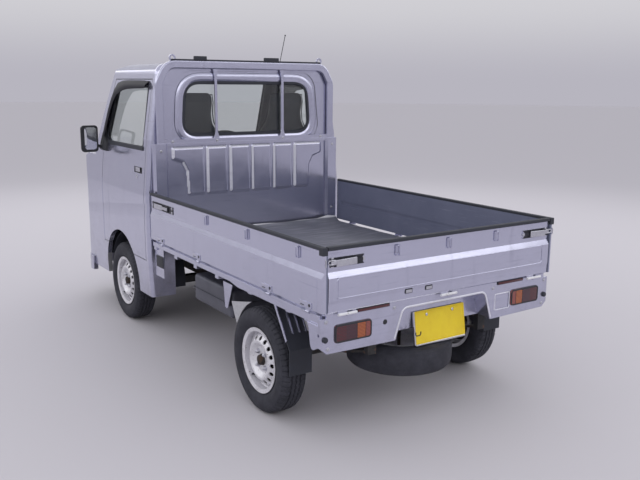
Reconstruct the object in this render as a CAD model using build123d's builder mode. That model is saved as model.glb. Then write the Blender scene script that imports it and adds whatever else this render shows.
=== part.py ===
from build123d import *
import os

os.makedirs("parts", exist_ok=True)

# The truck faces -Y, its left side is +X and the ground is Z = 0, in millimetres.
# Sizes of the whole vehicle
overall_length = 3395
overall_width = 1475
wheelbase = 1900
front_overhang = 882
roof_z = 1768

# Sizes of the wheels
tyre_diameter = 542
tyre_width = 145
front_tyre_inset = 12.5
rear_tyre_inset = 15
rim_flange_radius = 168
bead_radius = 152
well_radius = 140
rim_half_width = 57
rim_sheet = 4
spindle_radius = 20
spindle_length = 34
vent_circle_radius = 113
vent_hole_radius = 11
vent_hole_count = 16

# Sizes of the cab
cab_length = 1407.5
cab_wall = 32
cab_bottom_z = 270
sill_z = 512
seat_box_z = 640
footwell_z = 425
cowl_z = 1110
belt_z = 1232
header_z = 1660
door_length = 805
rear_pillar_length = 55
back_corner_radius = 24
glass_inset = 9
glass_thickness = 5

# Sizes of the load bed
bed_to_cab = 28
bed_floor_z = 655
deck_thickness = 8
gate_rise = 291
gate_thickness = 26
gate_foot_gap = 14
band_depth = 11
ridge_low = 167
ridge_high = 193
cap_height = 14
hinge_radius = 6.5
hinge_bore_radius = 3.1
hinge_pin_radius = 2.8
side_hinge_length = 62
tail_hinge_length = 100
guard_frame_z = 1775
guard_bar_z = 1285
mat_thickness = 5

# Sizes of the chassis
rail_x = 360
rail_width = 60
kingpin_inset = 87.5
bearer_width = 40
bearer_depth = 47
spare_x = 55
spare_z = 314

# Clearances
panel_gap = 5
seat_gap = 0.3
knuckle_gap = 0.5
spindle_gap = 0.5
house_clearance = 49
arch_clearance = 44

half_width = overall_width / 2
front_end = -overall_length / 2
rear_end = overall_length / 2
nose_y = front_end + 7.5
cab_back_y = front_end + cab_length
inner_back_y = cab_back_y - cab_wall
front_axle_y = front_end + front_overhang
rear_axle_y = front_axle_y + wheelbase
tyre_radius = tyre_diameter / 2
axle_z = tyre_radius
front_wheel_x = half_width - front_tyre_inset - tyre_width / 2
rear_wheel_x = half_width - rear_tyre_inset - tyre_width / 2
kingpin_x = front_wheel_x - kingpin_inset
door_rear_y = cab_back_y - rear_pillar_length
door_front_y = door_rear_y - door_length
bed_front_y = cab_back_y + bed_to_cab
hinge_z = bed_floor_z
hinge_x = half_width - hinge_radius
hinge_y = rear_end - hinge_radius
gate_outer_x = hinge_x - 1
gate_inner_x = gate_outer_x - gate_thickness
tailgate_outer_y = hinge_y - 1
tailgate_inner_y = tailgate_outer_y - gate_thickness
gate_foot_z = hinge_z + gate_foot_gap
gate_top_z = hinge_z + gate_rise
cap_top_z = gate_top_z + cap_height
gate_front_y = bed_front_y + panel_gap
gate_rear_y = tailgate_outer_y
tailgate_half = gate_inner_x - panel_gap
deck_half = gate_inner_x - 7
deck_rear_y = tailgate_inner_y - 7
deck_under_z = bed_floor_z - deck_thickness
bearer_under_z = deck_under_z - bearer_depth
rear_panel_y = rear_end - 49.5
frame_rear_y = rear_panel_y - seat_gap


def block(x_range, y_range, z_range, mode=Mode.ADD):
    """Plain bar between two opposite corners, each range a pair of ends."""
    ranges = [sorted(ends) for ends in (x_range, y_range, z_range)]
    with Locations(tuple((low + high) / 2 for low, high in ranges)):
        Box(*(high - low for low, high in ranges), mode=mode)


def prism_across(points, x_range, mode=Mode.ADD):
    """Side-view outline of (y, z) points carried across the truck."""
    low, high = sorted(x_range)
    with BuildSketch(Plane.YZ.offset(low)) as outline:
        with BuildLine():
            Polyline(*points, close=True)
        make_face()
    extrude(outline.sketch, amount=high - low, mode=mode)


def prism_along(points, y_range, mode=Mode.ADD, corner_radius=0):
    """Rear-view outline of (x, z) points carried along the truck."""
    low, high = sorted(y_range)
    with BuildSketch(Plane.XZ.offset(-high)) as outline:
        with BuildLine():
            Polyline(*points, close=True)
        make_face()
        if corner_radius:
            fillet(outline.vertices(), radius=corner_radius)
    extrude(outline.sketch, amount=high - low, mode=mode)


def rod(start, end, radius, mode=Mode.ADD):
    """Round bar between two points."""
    axis = Vector(*end) - Vector(*start)
    with BuildSketch(Plane(origin=start, z_dir=axis)) as outline:
        Circle(radius)
    extrude(outline.sketch, amount=axis.length, mode=mode)


def save(piece, name):
    """Names the finished piece and writes it."""
    piece.part.label = name
    export_step(piece.part, f"parts/{name}.step")


def mirrored(piece):
    """The same piece for the other side of the truck."""
    with BuildPart() as other:
        mirror(piece.part, about=Plane.YZ)
    return other


# Wheel: radial tyre on a pressed steel wheel, drawn about the X axis with the outside at +X
# Tyre flank and tread as (across, share of the height over the rim)
half_tyre = tyre_width / 2
tyre_rise = tyre_radius - rim_flange_radius
tyre_flank = [
    (half_tyre - 6, 0.23), (half_tyre, 0.45), (half_tyre - 3, 0.7), (half_tyre - 10, 0.855), (half_tyre - 22, 0.96),
    (half_tyre - 46, 1),
]
with BuildPart() as tyre_shape:
    with BuildSketch(Plane.XY):
        with BuildLine():
            tyre_half = [(rim_half_width - 7, bead_radius + seat_gap), (rim_half_width - 5, rim_flange_radius + 4)]
            tyre_half += [(x, rim_flange_radius + share * tyre_rise) for x, share in tyre_flank]
            Polyline(*tyre_half, *((-x, r) for x, r in reversed(tyre_half)), close=True)
        make_face()
    revolve(axis=Axis.X)

# Rim from the inner flange over the well to the outer flange as (across, radius) of its outer face
rim_section = [
    (-rim_half_width, rim_flange_radius), (5 - rim_half_width, bead_radius), (-36, bead_radius), (-26, well_radius),
    (10, well_radius), (20, bead_radius), (rim_half_width - 5, bead_radius), (rim_half_width, rim_flange_radius),
]
# Disc from its flange in the well over the crown to the bore as (across, radius), outer face then inner face
disc_edge = well_radius - rim_sheet
disc_face_x = 36
disc_bore_radius = 30
disc_section = [
    (-6, disc_edge), (24, disc_edge), (34, disc_edge - 7), (51, 107), (56, 99), (55, 89), (disc_face_x, 67),
    (disc_face_x, disc_bore_radius), (disc_face_x - 5, disc_bore_radius), (disc_face_x - 5, 67), (50, 88), (51, 97),
    (46, 105), (29, disc_edge - 9), (20, disc_edge - 5), (-6, disc_edge - 5),
]
# Hub with its cap as (across, radius)
hub_section = [
    (-14, spindle_radius + spindle_gap), (-14, disc_bore_radius), (disc_face_x, disc_bore_radius), (46, 25), (46, 0),
    (38, 0), (38, spindle_radius + spindle_gap),
]
with BuildPart() as bare_wheel:
    with BuildSketch(Plane.XY):
        with BuildLine():
            sheet_side = [(x, r - rim_sheet) for x, r in reversed(rim_section[1:-1])]
            outer_lip = [(rim_half_width + rim_sheet, rim_flange_radius),
                         (rim_half_width + rim_sheet - 5, bead_radius - rim_sheet)]
            inner_lip = [(-x, r) for x, r in reversed(outer_lip)]
            Polyline(*rim_section, *outer_lip, *sheet_side, *inner_lip, close=True)
        make_face()
        with BuildLine():
            Polyline(*disc_section, close=True)
        make_face()
    revolve(axis=Axis.X)
    with BuildSketch(Plane.YZ.offset(10)):
        with PolarLocations(vent_circle_radius, vent_hole_count):
            Circle(vent_hole_radius)
    extrude(amount=rim_half_width, mode=Mode.SUBTRACT)
with BuildPart() as hubbed_wheel:
    with BuildSketch(Plane.XY):
        with BuildLine():
            Polyline(*hub_section, close=True)
        make_face()
    revolve(axis=Axis.X)
    add(bare_wheel.part)

# Place of each running wheel: name, side of the truck, axle line, distance from the middle
wheel_places = [
    ("front_left", 1, front_axle_y, front_wheel_x),
    ("front_right", -1, front_axle_y, front_wheel_x),
    ("rear_left", 1, rear_axle_y, rear_wheel_x),
    ("rear_right", -1, rear_axle_y, rear_wheel_x),
]
for name, side, axle_y, wheel_x in wheel_places:
    for prefix, shape in (("tyre", tyre_shape), ("wheel", hubbed_wheel)):
        with BuildPart() as placed:
            with Locations((wheel_x, axle_y, axle_z)):
                add(shape.part)
        if side < 0:
            placed = mirrored(placed)
        save(placed, f"{prefix}_{name}")

# Spare wheel lying face down under the tail, carried on a bolt and clamp plate from a deck bearer
spare_y = rear_end - tyre_radius - 31.5
clamp_z = spare_z - disc_face_x - seat_gap
with BuildPart() as spare_wheel:
    with Locations(Location((spare_x, spare_y, spare_z), (0, 90, 0))):
        add(tyre_shape.part)
        add(bare_wheel.part)
    rod((spare_x, spare_y, clamp_z - 16), (spare_x, spare_y, bearer_under_z - seat_gap), 9)
    rod((spare_x, spare_y, clamp_z - 7), (spare_x, spare_y, clamp_z), 45)
save(spare_wheel, "spare_wheel")

# Cab body as one thin-walled form, later parted where its real panels meet
# Plan of the front corner as (in from the side, back from the nose), below and above the cowl
lower_plan = [(207.5, 26), (51.5, 90), (0, 240)]
upper_plan = [(97.5, 272), (32.5, 305), (0, 370)]
nose_bow = 26
screen_bow = 100
# Side view of the nose as (back from the nose, height)
nose_profile = [(-10, 800), (18, 960), (100, 1075), (210, cowl_z + 10)]
# Roof line over the screen as (back from the nose, over the roof)
brow_profile = [(90, -80), (590, -52), (900, -10), (1060, 10)]
# Half widths up the cab side as (in from the side, height), with the tumblehome above the waist
side_profile = [(15.5, cab_bottom_z), (0, 560), (0, 930), (31.5, 1284), (91.5, roof_z - 78)]
shoulder_width = 86
roof_drop = 14
screen_rake = Vector(0, 147, 258).normalized()
upper_foot_z = cowl_z - 60


def cab_plan(height, corners, bow, back_y, inset):
    """Plan of the cab: bowed front, rounded front corners, straight sides."""
    (x1, y1), (x2, y2), (x3, y3) = [(half_width - inward, nose_y + back) for inward, back in corners]
    with BuildSketch(Plane.XY.offset(height)) as plan:
        with BuildLine():
            front = ThreePointArc((-x1, y1), (0, y1 - bow), (x1, y1))
            left = ThreePointArc(front @ 1, (x2, y2), (x3, y3))
            Polyline(left @ 1, (half_width, back_y), (-half_width, back_y), (-x3, y3))
            ThreePointArc((-x3, y3), (-x2, y2), front @ 0)
        make_face()
        if inset:
            offset(amount=-inset)
    return plan.sketch


def cab_envelope(inset):
    """Outside of the cab moved inwards by an even wall."""
    with BuildPart() as lower:
        extrude(cab_plan(cab_bottom_z, lower_plan, nose_bow, cab_back_y, inset), amount=cowl_z + 10 - cab_bottom_z)
        with BuildSketch(Plane.YZ.offset(-half_width)):
            with BuildLine():
                face_line = [(nose_y + back, z) for back, z in nose_profile]
                Polyline((cab_back_y, cab_bottom_z), (nose_y - 10, cab_bottom_z), *face_line,
                         (cab_back_y, cowl_z + 10), close=True)
            make_face()
            if inset:
                offset(amount=-inset, kind=Kind.INTERSECTION)
        extrude(amount=overall_width, mode=Mode.INTERSECT)
    with BuildPart() as upper:
        extrude(cab_plan(upper_foot_z, upper_plan, screen_bow, cab_back_y + 700, inset),
                amount=(roof_z + 60 - upper_foot_z) / screen_rake.Z, dir=screen_rake)
        with BuildSketch(Plane.YZ.offset(-half_width)):
            with BuildLine():
                brow_line = [(nose_y + back, roof_z + rise) for back, rise in brow_profile]
                Polyline((cab_back_y, roof_z + 10), (cab_back_y, upper_foot_z), (nose_y + 90, upper_foot_z),
                         *brow_line, close=True)
            make_face()
            if inset:
                offset(amount=-inset, kind=Kind.INTERSECTION)
        extrude(amount=overall_width, mode=Mode.INTERSECT)
    with BuildPart() as envelope:
        add(lower.part)
        add(upper.part)
        with BuildSketch(Plane.XZ.offset(-cab_back_y)):
            with BuildLine():
                side_line = [(half_width - inward, z) for inward, z in side_profile]
                left_edge = Polyline(*side_line)
                top_x, top_z = side_line[-1]
                crown_x, crown_z = top_x - shoulder_width, roof_z - roof_drop
                shoulder = ThreePointArc(left_edge @ 1, (top_x - 20, roof_z - 36), (crown_x, crown_z))
                crown = ThreePointArc(shoulder @ 1, (0, roof_z), (-crown_x, crown_z))
                ThreePointArc(crown @ 1, (20 - top_x, roof_z - 36), (-top_x, top_z))
                right_edge = Polyline(*((-x, z) for x, z in reversed(side_line)))
                Line(right_edge @ 1, left_edge @ 0)
            make_face()
            if inset:
                offset(amount=-inset, kind=Kind.INTERSECTION)
        extrude(amount=cab_length + 100, mode=Mode.INTERSECT)
    return envelope


outer_form = cab_envelope(0)
inner_form = cab_envelope(cab_wall)
floor_form = cab_envelope(cab_wall + 0.5)
glass_face = cab_envelope(glass_inset)
glass_back = cab_envelope(glass_inset + glass_thickness)
with BuildPart() as glass_shell:
    add(glass_face.part)
    add(glass_back.part, mode=Mode.SUBTRACT)

# Waist crease rising along the cab side, deepest under its upper edge, as (along, height)
crease_front = Vector(0, front_axle_y - 330, 781)
crease_rear = Vector(0, cab_back_y, 885)
crease_depth = 5
crease_fade = 95
crease_run = (crease_rear - crease_front).normalized()
crease_start = Vector(half_width, 0, 0) + crease_front - crease_run * 400
with BuildPart() as crease_cut:
    with BuildSketch(Plane(origin=crease_start, x_dir=(1, 0, 0), z_dir=crease_run)):
        with BuildLine():
            Polyline((1, 0), (-crease_depth, 0), (1, crease_fade), close=True)
        make_face()
    extrude(amount=1400)
    mirror(about=Plane.YZ)

# Lengthwise beads pressed into the roof, as places across it
roof_bead_xs = [-400, -200, 0, 200, 400]
roof_bead_length = 620
roof_bead_width = 46
roof_bead_depth = 3
crown_half = half_width - side_profile[-1][0] - shoulder_width
with BuildPart() as cab_shell:
    add(outer_form.part)
    back_edges = cab_shell.faces().sort_by(Axis.Y)[-1].edges()
    fillet(back_edges.filter_by(lambda edge: edge.center().Z > cab_bottom_z + 10), radius=back_corner_radius)
    add(crease_cut.part, mode=Mode.SUBTRACT)
    for x in roof_bead_xs:
        with BuildSketch(Plane.XY.offset(roof_z - roof_drop * (x / crown_half) ** 2 - roof_bead_depth)):
            with Locations((x, cab_back_y - 60 - roof_bead_length / 2)):
                SlotOverall(roof_bead_length, roof_bead_width, rotation=90)
        extrude(amount=50, mode=Mode.SUBTRACT)
    add(inner_form.part, mode=Mode.SUBTRACT)
    block((cab_wall + 15.5 - half_width, half_width - cab_wall - 15.5), (nose_y + 50, inner_back_y),
          (cab_bottom_z - 20, cab_bottom_z + cab_wall + 10), Mode.SUBTRACT)

# Door outline in side view, from the foot of its front edge round by the roof
side_depth = 240
door_outline = [
    (door_front_y, sill_z), (door_front_y, belt_z + 30), (door_front_y + 150, header_z - panel_gap),
    (door_rear_y, header_z - panel_gap), (door_rear_y, sill_z),
]
side_window = [
    (door_front_y + 68, belt_z + 22), (door_front_y + 188, header_z - 48), (door_rear_y - 46, header_z - 48),
    (door_rear_y - 46, belt_z), (door_front_y + 120, belt_z),
]


def grown(points, amount):
    """Outline moved outwards by an even gap."""
    with BuildSketch() as shape:
        with BuildLine():
            Polyline(*points, close=True)
        make_face()
        offset(amount=amount, kind=Kind.INTERSECTION)
    return shape.sketch


def arch_cut(x_range):
    """Round wheel opening over the front axle."""
    low, high = sorted(x_range)
    radius = tyre_radius + arch_clearance
    with BuildSketch(Plane.YZ.offset(low)) as outline:
        with Locations((front_axle_y - 5, axle_z + 47)):
            Circle(radius)
        with Locations((front_axle_y - 5, axle_z + 47 - radius)):
            Rectangle(radius * 2, radius * 2)
    extrude(outline.sketch, amount=high - low, mode=Mode.SUBTRACT)


# Door hinges: short barrels in the shut line, their lower half on the body and upper half on the door
door_hinge_zs = [600, 900]
door_hinge_x = half_width - 5
door_hinge_y = door_front_y - panel_gap / 2
door_barrel_radius = 5
door_barrel_length = 30
door_pin_radius = 2.5


def shut_line_chamfer(z_range):
    """Eased outer corners of the panels that meet at the hinge line."""
    with BuildSketch(Plane.XY.offset(z_range[0])) as notch:
        with BuildLine():
            Polyline((half_width + 1, door_hinge_y - 9), (half_width + 1, door_hinge_y + 9),
                     (half_width - 6, door_hinge_y), close=True)
        make_face()
    extrude(notch.sketch, amount=z_range[1] - z_range[0], mode=Mode.SUBTRACT)


def door_barrel(z_low, edge_y):
    """One barrel on the hinge line with the strap that holds it to the edge of its panel."""
    z_high = z_low + door_barrel_length
    rod((door_hinge_x, door_hinge_y, z_low), (door_hinge_x, door_hinge_y, z_high), door_barrel_radius)
    block((door_hinge_x - 14, door_hinge_x - 1), (door_hinge_y, edge_y), (z_low, z_high))


def door_barrel_pocket(z):
    """Room in both panels for the barrels of one hinge."""
    reach = door_barrel_length + 3
    rod((door_hinge_x, door_hinge_y, z - reach), (door_hinge_x, door_hinge_y, z + reach),
        door_barrel_radius + 1.5, Mode.SUBTRACT)


# Door with its window opening, pull-flap recess behind the window and wheel arch cut-away
handle_y = door_rear_y - 112
handle_z = 1085
handle_half = (69, 19)
handle_depth = 26
with BuildPart() as door_left:
    add(cab_shell.part)
    prism_across(door_outline, (half_width - side_depth, half_width), Mode.INTERSECT)
    prism_across(side_window, (half_width - side_depth, half_width), Mode.SUBTRACT)
    arch_cut((half_width - side_depth, half_width))
    block((half_width - handle_depth, half_width), (handle_y - handle_half[0], handle_y + handle_half[0]),
          (handle_z - handle_half[1], handle_z + handle_half[1]), Mode.SUBTRACT)
    block((half_width - handle_depth - 1, half_width - handle_depth + 8), (handle_y - 60, handle_y + 20),
          (handle_z - 14, handle_z + 15))
    shut_line_chamfer((sill_z - 10, belt_z + 40))
    for z in door_hinge_zs:
        door_barrel_pocket(z)
        door_barrel(z + knuckle_gap, door_front_y + 12)
        rod((door_hinge_x, door_hinge_y, z), (door_hinge_x, door_hinge_y, z + door_barrel_length + 1),
            door_pin_radius + seat_gap, Mode.SUBTRACT)
save(door_left, "door_left")
save(mirrored(door_left), "door_right")

with BuildPart() as door_glass_left:
    add(glass_shell.part)
    with BuildSketch(Plane.YZ.offset(half_width - side_depth)):
        add(grown(side_window, -seat_gap))
    extrude(amount=side_depth, mode=Mode.INTERSECT)
save(door_glass_left, "door_glass_left")
save(mirrored(door_glass_left), "door_glass_right")

# Door mirror on an arm from the front corner of the side window
mirror_size = (119, 185)
mirror_centre = Vector(half_width + 94.5, door_front_y + 45, belt_z + 16)
mirror_arm_y = mirror_centre.Y - 3
with BuildPart() as mirror_left:
    with BuildSketch(Plane.XZ.offset(-mirror_centre.Y - 12)) as mirror_face:
        with Locations((mirror_centre.X, mirror_centre.Z)):
            RectangleRounded(*mirror_size, 24)
    extrude(amount=36, taper=14)
    extrude(mirror_face.sketch, amount=-10)
    rod((mirror_centre.X - 42, mirror_arm_y, mirror_centre.Z - 43), (half_width - 25.5, mirror_arm_y, belt_z - 57), 11)
    add(outer_form.part, mode=Mode.SUBTRACT)
save(mirror_left, "mirror_left")
save(mirrored(mirror_left), "mirror_right")

# Rod aerial clipped to the right-hand windscreen pillar
aerial_foot = Vector(66 - half_width, nose_y + 540, 1452)
aerial_tip = Vector(97.5 - half_width, nose_y + 811, 1994)
aerial_clips = [0.03, 0.2]
with BuildPart() as aerial:
    rod(aerial_foot, aerial_tip, 2.5)
    rod(aerial_foot, aerial_foot + (aerial_tip - aerial_foot) * 0.28, 5)
    rod(aerial_tip - (aerial_tip - aerial_foot).normalized() * 4, aerial_tip + Vector(0, 2, 4), 5)
    for share in aerial_clips:
        clip = aerial_foot + (aerial_tip - aerial_foot) * share
        rod(clip, clip + Vector(34, 22, 0), 5)
    add(outer_form.part, mode=Mode.SUBTRACT)
save(aerial, "aerial")

# Windscreen opening in front view as (across, height)
screen_outline = [
    (97.5 - half_width, cowl_z), (half_width - 97.5, cowl_z), (half_width - 159.5, header_z),
    (159.5 - half_width, header_z),
]
with BuildPart() as cab_roof:
    add(cab_shell.part)
    block((-half_width, half_width), (nose_y, inner_back_y), (header_z, roof_z + 40), Mode.INTERSECT)
save(cab_roof, "cab_roof")

# Rear window and the two pressed steps round it: half width low, half width high, foot, head, corner
window_rings = {
    "glass": (480, 455, 1310, 1638, 78),
    "inner step": (514, 482, 1284, 1670, 98),
    "outer step": (566, 516, 1240, 1712, 122),
}


def window_ring(ring, y_range, mode, shrink=0):
    """Rounded rear-window outline carried through the back panel."""
    low_half, high_half, foot, head, corner = window_rings[ring]
    points = [(shrink - low_half, foot + shrink), (low_half - shrink, foot + shrink),
              (high_half - shrink, head - shrink), (shrink - high_half, head - shrink)]
    prism_along(points, y_range, mode, corner - shrink)


with BuildPart() as back_step:
    window_ring("outer step", (cab_back_y - 5, cab_back_y), Mode.ADD)
    window_ring("inner step", (cab_back_y - 5, cab_back_y), Mode.SUBTRACT)
with BuildPart() as cab_back_panel:
    add(cab_shell.part)
    block((-half_width, half_width), (inner_back_y, cab_back_y), (cab_bottom_z, roof_z + 40), Mode.INTERSECT)
    add(back_step.part, mode=Mode.SUBTRACT)
    window_ring("inner step", (cab_back_y - 2.5, cab_back_y), Mode.SUBTRACT)
    window_ring("glass", (inner_back_y, cab_back_y), Mode.SUBTRACT)
    block((177.5 - half_width, half_width - 177.5), (inner_back_y, cab_back_y), (cab_bottom_z, seat_box_z - 24),
          Mode.SUBTRACT)
save(cab_back_panel, "cab_back_panel")

# Front panel with lamp openings and a shallow slatted grille
fender_split_y = nose_y + 260
lamp_x = half_width - 147.5
lamp_z = 930
lamp_size = (230, 190)
lamp_corner = 50
grille_half = lamp_x - lamp_size[0] / 2 - 30
grille_z = 935
with BuildPart() as cab_front_panel:
    add(cab_shell.part)
    block((-half_width, half_width), (nose_y - 60, fender_split_y), (330, cowl_z), Mode.INTERSECT)
    with BuildSketch(Plane.XZ.offset(-nose_y - 190)):
        for side in (1, -1):
            with Locations((side * lamp_x, lamp_z)):
                RectangleRounded(*lamp_size, lamp_corner)
    extrude(amount=250, mode=Mode.SUBTRACT)
    with BuildSketch(Plane.XZ.offset(-nose_y - 30)):
        with Locations((0, grille_z)):
            RectangleRounded(2 * grille_half, 70, 30)
    extrude(amount=60, mode=Mode.SUBTRACT)
    for z in (grille_z - 18, grille_z, grille_z + 18):
        block((-grille_half, grille_half), (nose_y + 25, nose_y + 36), (z - 4, z + 4))
save(cab_front_panel, "cab_front_panel")

with BuildPart() as headlights:
    add(outer_form.part)
    add(inner_form.part, mode=Mode.SUBTRACT)
    with BuildSketch(Plane.XZ.offset(-nose_y - 190)):
        for side in (1, -1):
            with Locations((side * lamp_x, lamp_z)):
                RectangleRounded(lamp_size[0] - 2 * seat_gap, lamp_size[1] - 2 * seat_gap, lamp_corner - seat_gap)
    extrude(amount=250, mode=Mode.INTERSECT)
save(headlights, "headlights")

# Side frames: pillars, fenders, rockers and cant rails round the doors
with BuildPart() as cab_side_frames:
    add(cab_shell.part)
    block((-half_width, half_width), (nose_y - 60, inner_back_y), (cab_bottom_z, header_z), Mode.INTERSECT)
    block((-half_width, half_width), (nose_y - 60, fender_split_y), (cab_bottom_z, cowl_z), Mode.SUBTRACT)
    prism_along(screen_outline, (nose_y - 10, nose_y + 790), Mode.SUBTRACT)
    with BuildSketch(Plane.YZ.offset(half_width - side_depth)):
        add(grown(door_outline, panel_gap))
    extrude(amount=side_depth, mode=Mode.SUBTRACT)
    arch_cut((-half_width, half_width))
    shut_line_chamfer((sill_z - 10, belt_z + 40))
    for z in door_hinge_zs:
        door_barrel_pocket(z)
        door_barrel(z - door_barrel_length, door_front_y - panel_gap - 12)
        rod((door_hinge_x, door_hinge_y, z - 2), (door_hinge_x, door_hinge_y, z + door_barrel_length),
            door_pin_radius)
    split(bisect_by=Plane.YZ, keep=Keep.TOP)
    mirror(about=Plane.YZ)
save(cab_side_frames, "cab_side_frames")

# Fixed glass: bowed windscreen and rear window
with BuildPart() as cab_glass:
    add(glass_shell.part)
    with BuildSketch(Plane.XZ.offset(-nose_y - 790)):
        add(grown(screen_outline, -seat_gap))
    extrude(amount=800, mode=Mode.INTERSECT)
    window_ring("glass", (cab_back_y - 12 - glass_thickness, cab_back_y - 12), Mode.ADD, seat_gap)
save(cab_glass, "cab_glass")

# Cab floor: footwell, heel board, seat box and the two front wheel houses
floor_sheet = 4
floor_step = 20
heel_y = front_axle_y - 330
floor_half = half_width - 47.5
house_wall_x = kingpin_x - 160
house_radius = tyre_radius + house_clearance
house_z = axle_z + 19
with BuildPart() as cab_floor:
    floor_line = [
        (nose_y + 100, footwell_z - floor_step), (heel_y, footwell_z - floor_step), (heel_y, seat_box_z - floor_step),
        (inner_back_y, seat_box_z - floor_step), (inner_back_y, seat_box_z), (heel_y - floor_step, seat_box_z),
        (heel_y - floor_step, footwell_z), (nose_y + 100, footwell_z),
    ]
    prism_across(floor_line, (-floor_half, floor_half))
    add(floor_form.part, mode=Mode.INTERSECT)
    for low in (-floor_half, house_wall_x - floor_sheet):
        with BuildSketch(Plane.YZ.offset(low)):
            with Locations((front_axle_y, house_z)):
                Circle(house_radius + floor_sheet)
        extrude(amount=floor_half - house_wall_x + floor_sheet)
    for low in (-floor_half, house_wall_x):
        with BuildSketch(Plane.YZ.offset(low)):
            with Locations((front_axle_y, house_z)):
                Circle(house_radius)
        extrude(amount=floor_half - house_wall_x, mode=Mode.SUBTRACT)
    block((-half_width, half_width), (front_axle_y - 390, front_axle_y + 420), (-50, house_z - 30), Mode.SUBTRACT)
save(cab_floor, "cab_floor")

# Front bumper: bowed cover with a low air opening, plan as (in from the side, back from the front end)
bumper_plan = [(197.5, 25.5), (37.5, 97.5), (0, 257.5)]
bumper_wall = 32
bumper_z = 225
bumper_height = 104.7
with BuildPart() as front_bumper:
    with BuildSketch(Plane.XY.offset(bumper_z)):
        with BuildLine():
            (x1, y1), (x2, y2), (x3, y3) = [(half_width - inward, front_end + back) for inward, back in bumper_plan]
            face = ThreePointArc((-x1, y1), (0, front_end), (x1, y1))
            turn = ThreePointArc(face @ 1, (x2, y2), (x3, y3))
            turn_in = ThreePointArc((x3 - bumper_wall, y3), (x2 - 28, y2 + 17), (x1 - 15, y1 + bumper_wall))
            face_in = ThreePointArc(turn_in @ 1, (0, front_end + 37.5), (15 - x1, y1 + bumper_wall))
            turn_back = ThreePointArc(face_in @ 1, (28 - x2, y2 + 17), (bumper_wall - x3, y3))
            Line(turn @ 1, turn_in @ 0)
            Line(turn_back @ 1, (-x3, y3))
            ThreePointArc((-x3, y3), (-x2, y2), face @ 0)
        make_face()
    extrude(amount=bumper_height)
    with BuildSketch(Plane.XZ.offset(-front_end - 60)):
        with Locations((0, bumper_z + bumper_height / 2)):
            RectangleRounded(620, 44, 20)
    extrude(amount=80, mode=Mode.SUBTRACT)
save(front_bumper, "front_bumper")

# Dashboard with the steering column on the right-hand side, profile as (back from the nose, height)
dash_profile = [(250, 900), (250, 1066), (360, 1076), (475, 1060), (490, 960), (400, 880)]
column_foot = Vector(-330, nose_y + 360, 960)
column_axis = Vector(0, 0.62, 0.785).normalized()
column_length = 230
hand_wheel_centre = column_foot + column_axis * column_length
hub_depth = 30
with BuildPart() as dashboard:
    prism_across([(nose_y + back, z) for back, z in dash_profile], (-half_width, half_width))
    add(floor_form.part, mode=Mode.INTERSECT)
    rod(column_foot - column_axis * 60, column_foot + column_axis * (column_length - hub_depth - seat_gap), 24)
save(dashboard, "dashboard")

# Steering wheel: ring, dished hub and three spokes
ring_radius = 178
ring_thickness = 26
hub_radius = 48
spoke_width = 26
spoke_angles = [0, 90, 180]
wheel_plane = Plane(origin=hand_wheel_centre, x_dir=(1, 0, 0), z_dir=column_axis)
cross_plane = Plane(origin=hand_wheel_centre, x_dir=(1, 0, 0), z_dir=Vector(1, 0, 0).cross(column_axis))
with BuildPart() as steering_wheel:
    with BuildSketch(cross_plane):
        with Locations((ring_radius, 0)):
            RegularPolygon(ring_thickness / 2, 8)
    revolve(axis=Axis(hand_wheel_centre, column_axis))
    with BuildSketch(wheel_plane.offset(-hub_depth)):
        Circle(hub_radius)
    extrude(amount=hub_depth)
    for angle in spoke_angles:
        with BuildSketch(wheel_plane.offset(-12)):
            with PolarLocations((ring_radius + hub_radius) / 2 - 6, 1, start_angle=angle):
                Rectangle(ring_radius - hub_radius + 6, spoke_width)
        extrude(amount=10)
save(steering_wheel, "steering_wheel")

# Seats: cushion and high back for driver and passenger, back profile as (ahead of the cab back, height)
seat_x = 350
seat_half = 225
seat_back = [(270, 665), (140, 665), (55, 1560), (140, 1600), (180, 1400), (310, 790)]
with BuildPart() as seats:
    for side in (1, -1):
        centre = side * seat_x
        block((centre - seat_half - 10, centre + seat_half + 10), (cab_back_y - 720, cab_back_y - 270),
              (seat_box_z + seat_gap, 770))
        prism_across([(cab_back_y - ahead, z) for ahead, z in seat_back], (centre - seat_half, centre + seat_half))
save(seats, "seats")

# Ladder frame: two rails with the rise over the rear axle, cross tubes and cab mounts
rail_half = rail_width / 2
rail_line = [
    (front_end + 67.5, 335), (front_axle_y - 284, 335), (front_axle_y - 154, 430), (rear_axle_y - 384, 430),
    (rear_axle_y - 244, 500), (frame_rear_y, 500), (frame_rear_y, 575), (rear_axle_y - 274, 575),
    (rear_axle_y - 414, 505), (front_axle_y - 194, 505), (front_axle_y - 314, 398), (front_end + 67.5, 398),
]
# Cross tubes as (along, height)
cross_tubes = [
    (front_end + 137.5, 366), (front_axle_y - 184, 470), (bed_front_y + 322, 468), (rear_axle_y - 364, 480),
    (rear_panel_y - 104, 537),
]
# Cab mounts as (along, foot, head)
cab_mounts = [
    (heel_y - 340, 390, footwell_z - floor_step), (heel_y - 60, 390, footwell_z - floor_step),
    (cab_back_y - 85, 500, seat_box_z - floor_step),
]
with BuildPart() as ladder_frame:
    for side in (1, -1):
        centre = side * rail_x
        prism_across(rail_line, (centre - rail_half, centre + rail_half))
        for y, foot, head in cab_mounts:
            block((centre - 25, centre + 25), (y - 25, y + 25), (foot, head))
    tube_half = rail_x - rail_half - seat_gap
    for y, z in cross_tubes:
        rod((-tube_half, y, z), (tube_half, y, z), 22)
save(ladder_frame, "ladder_frame")

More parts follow.
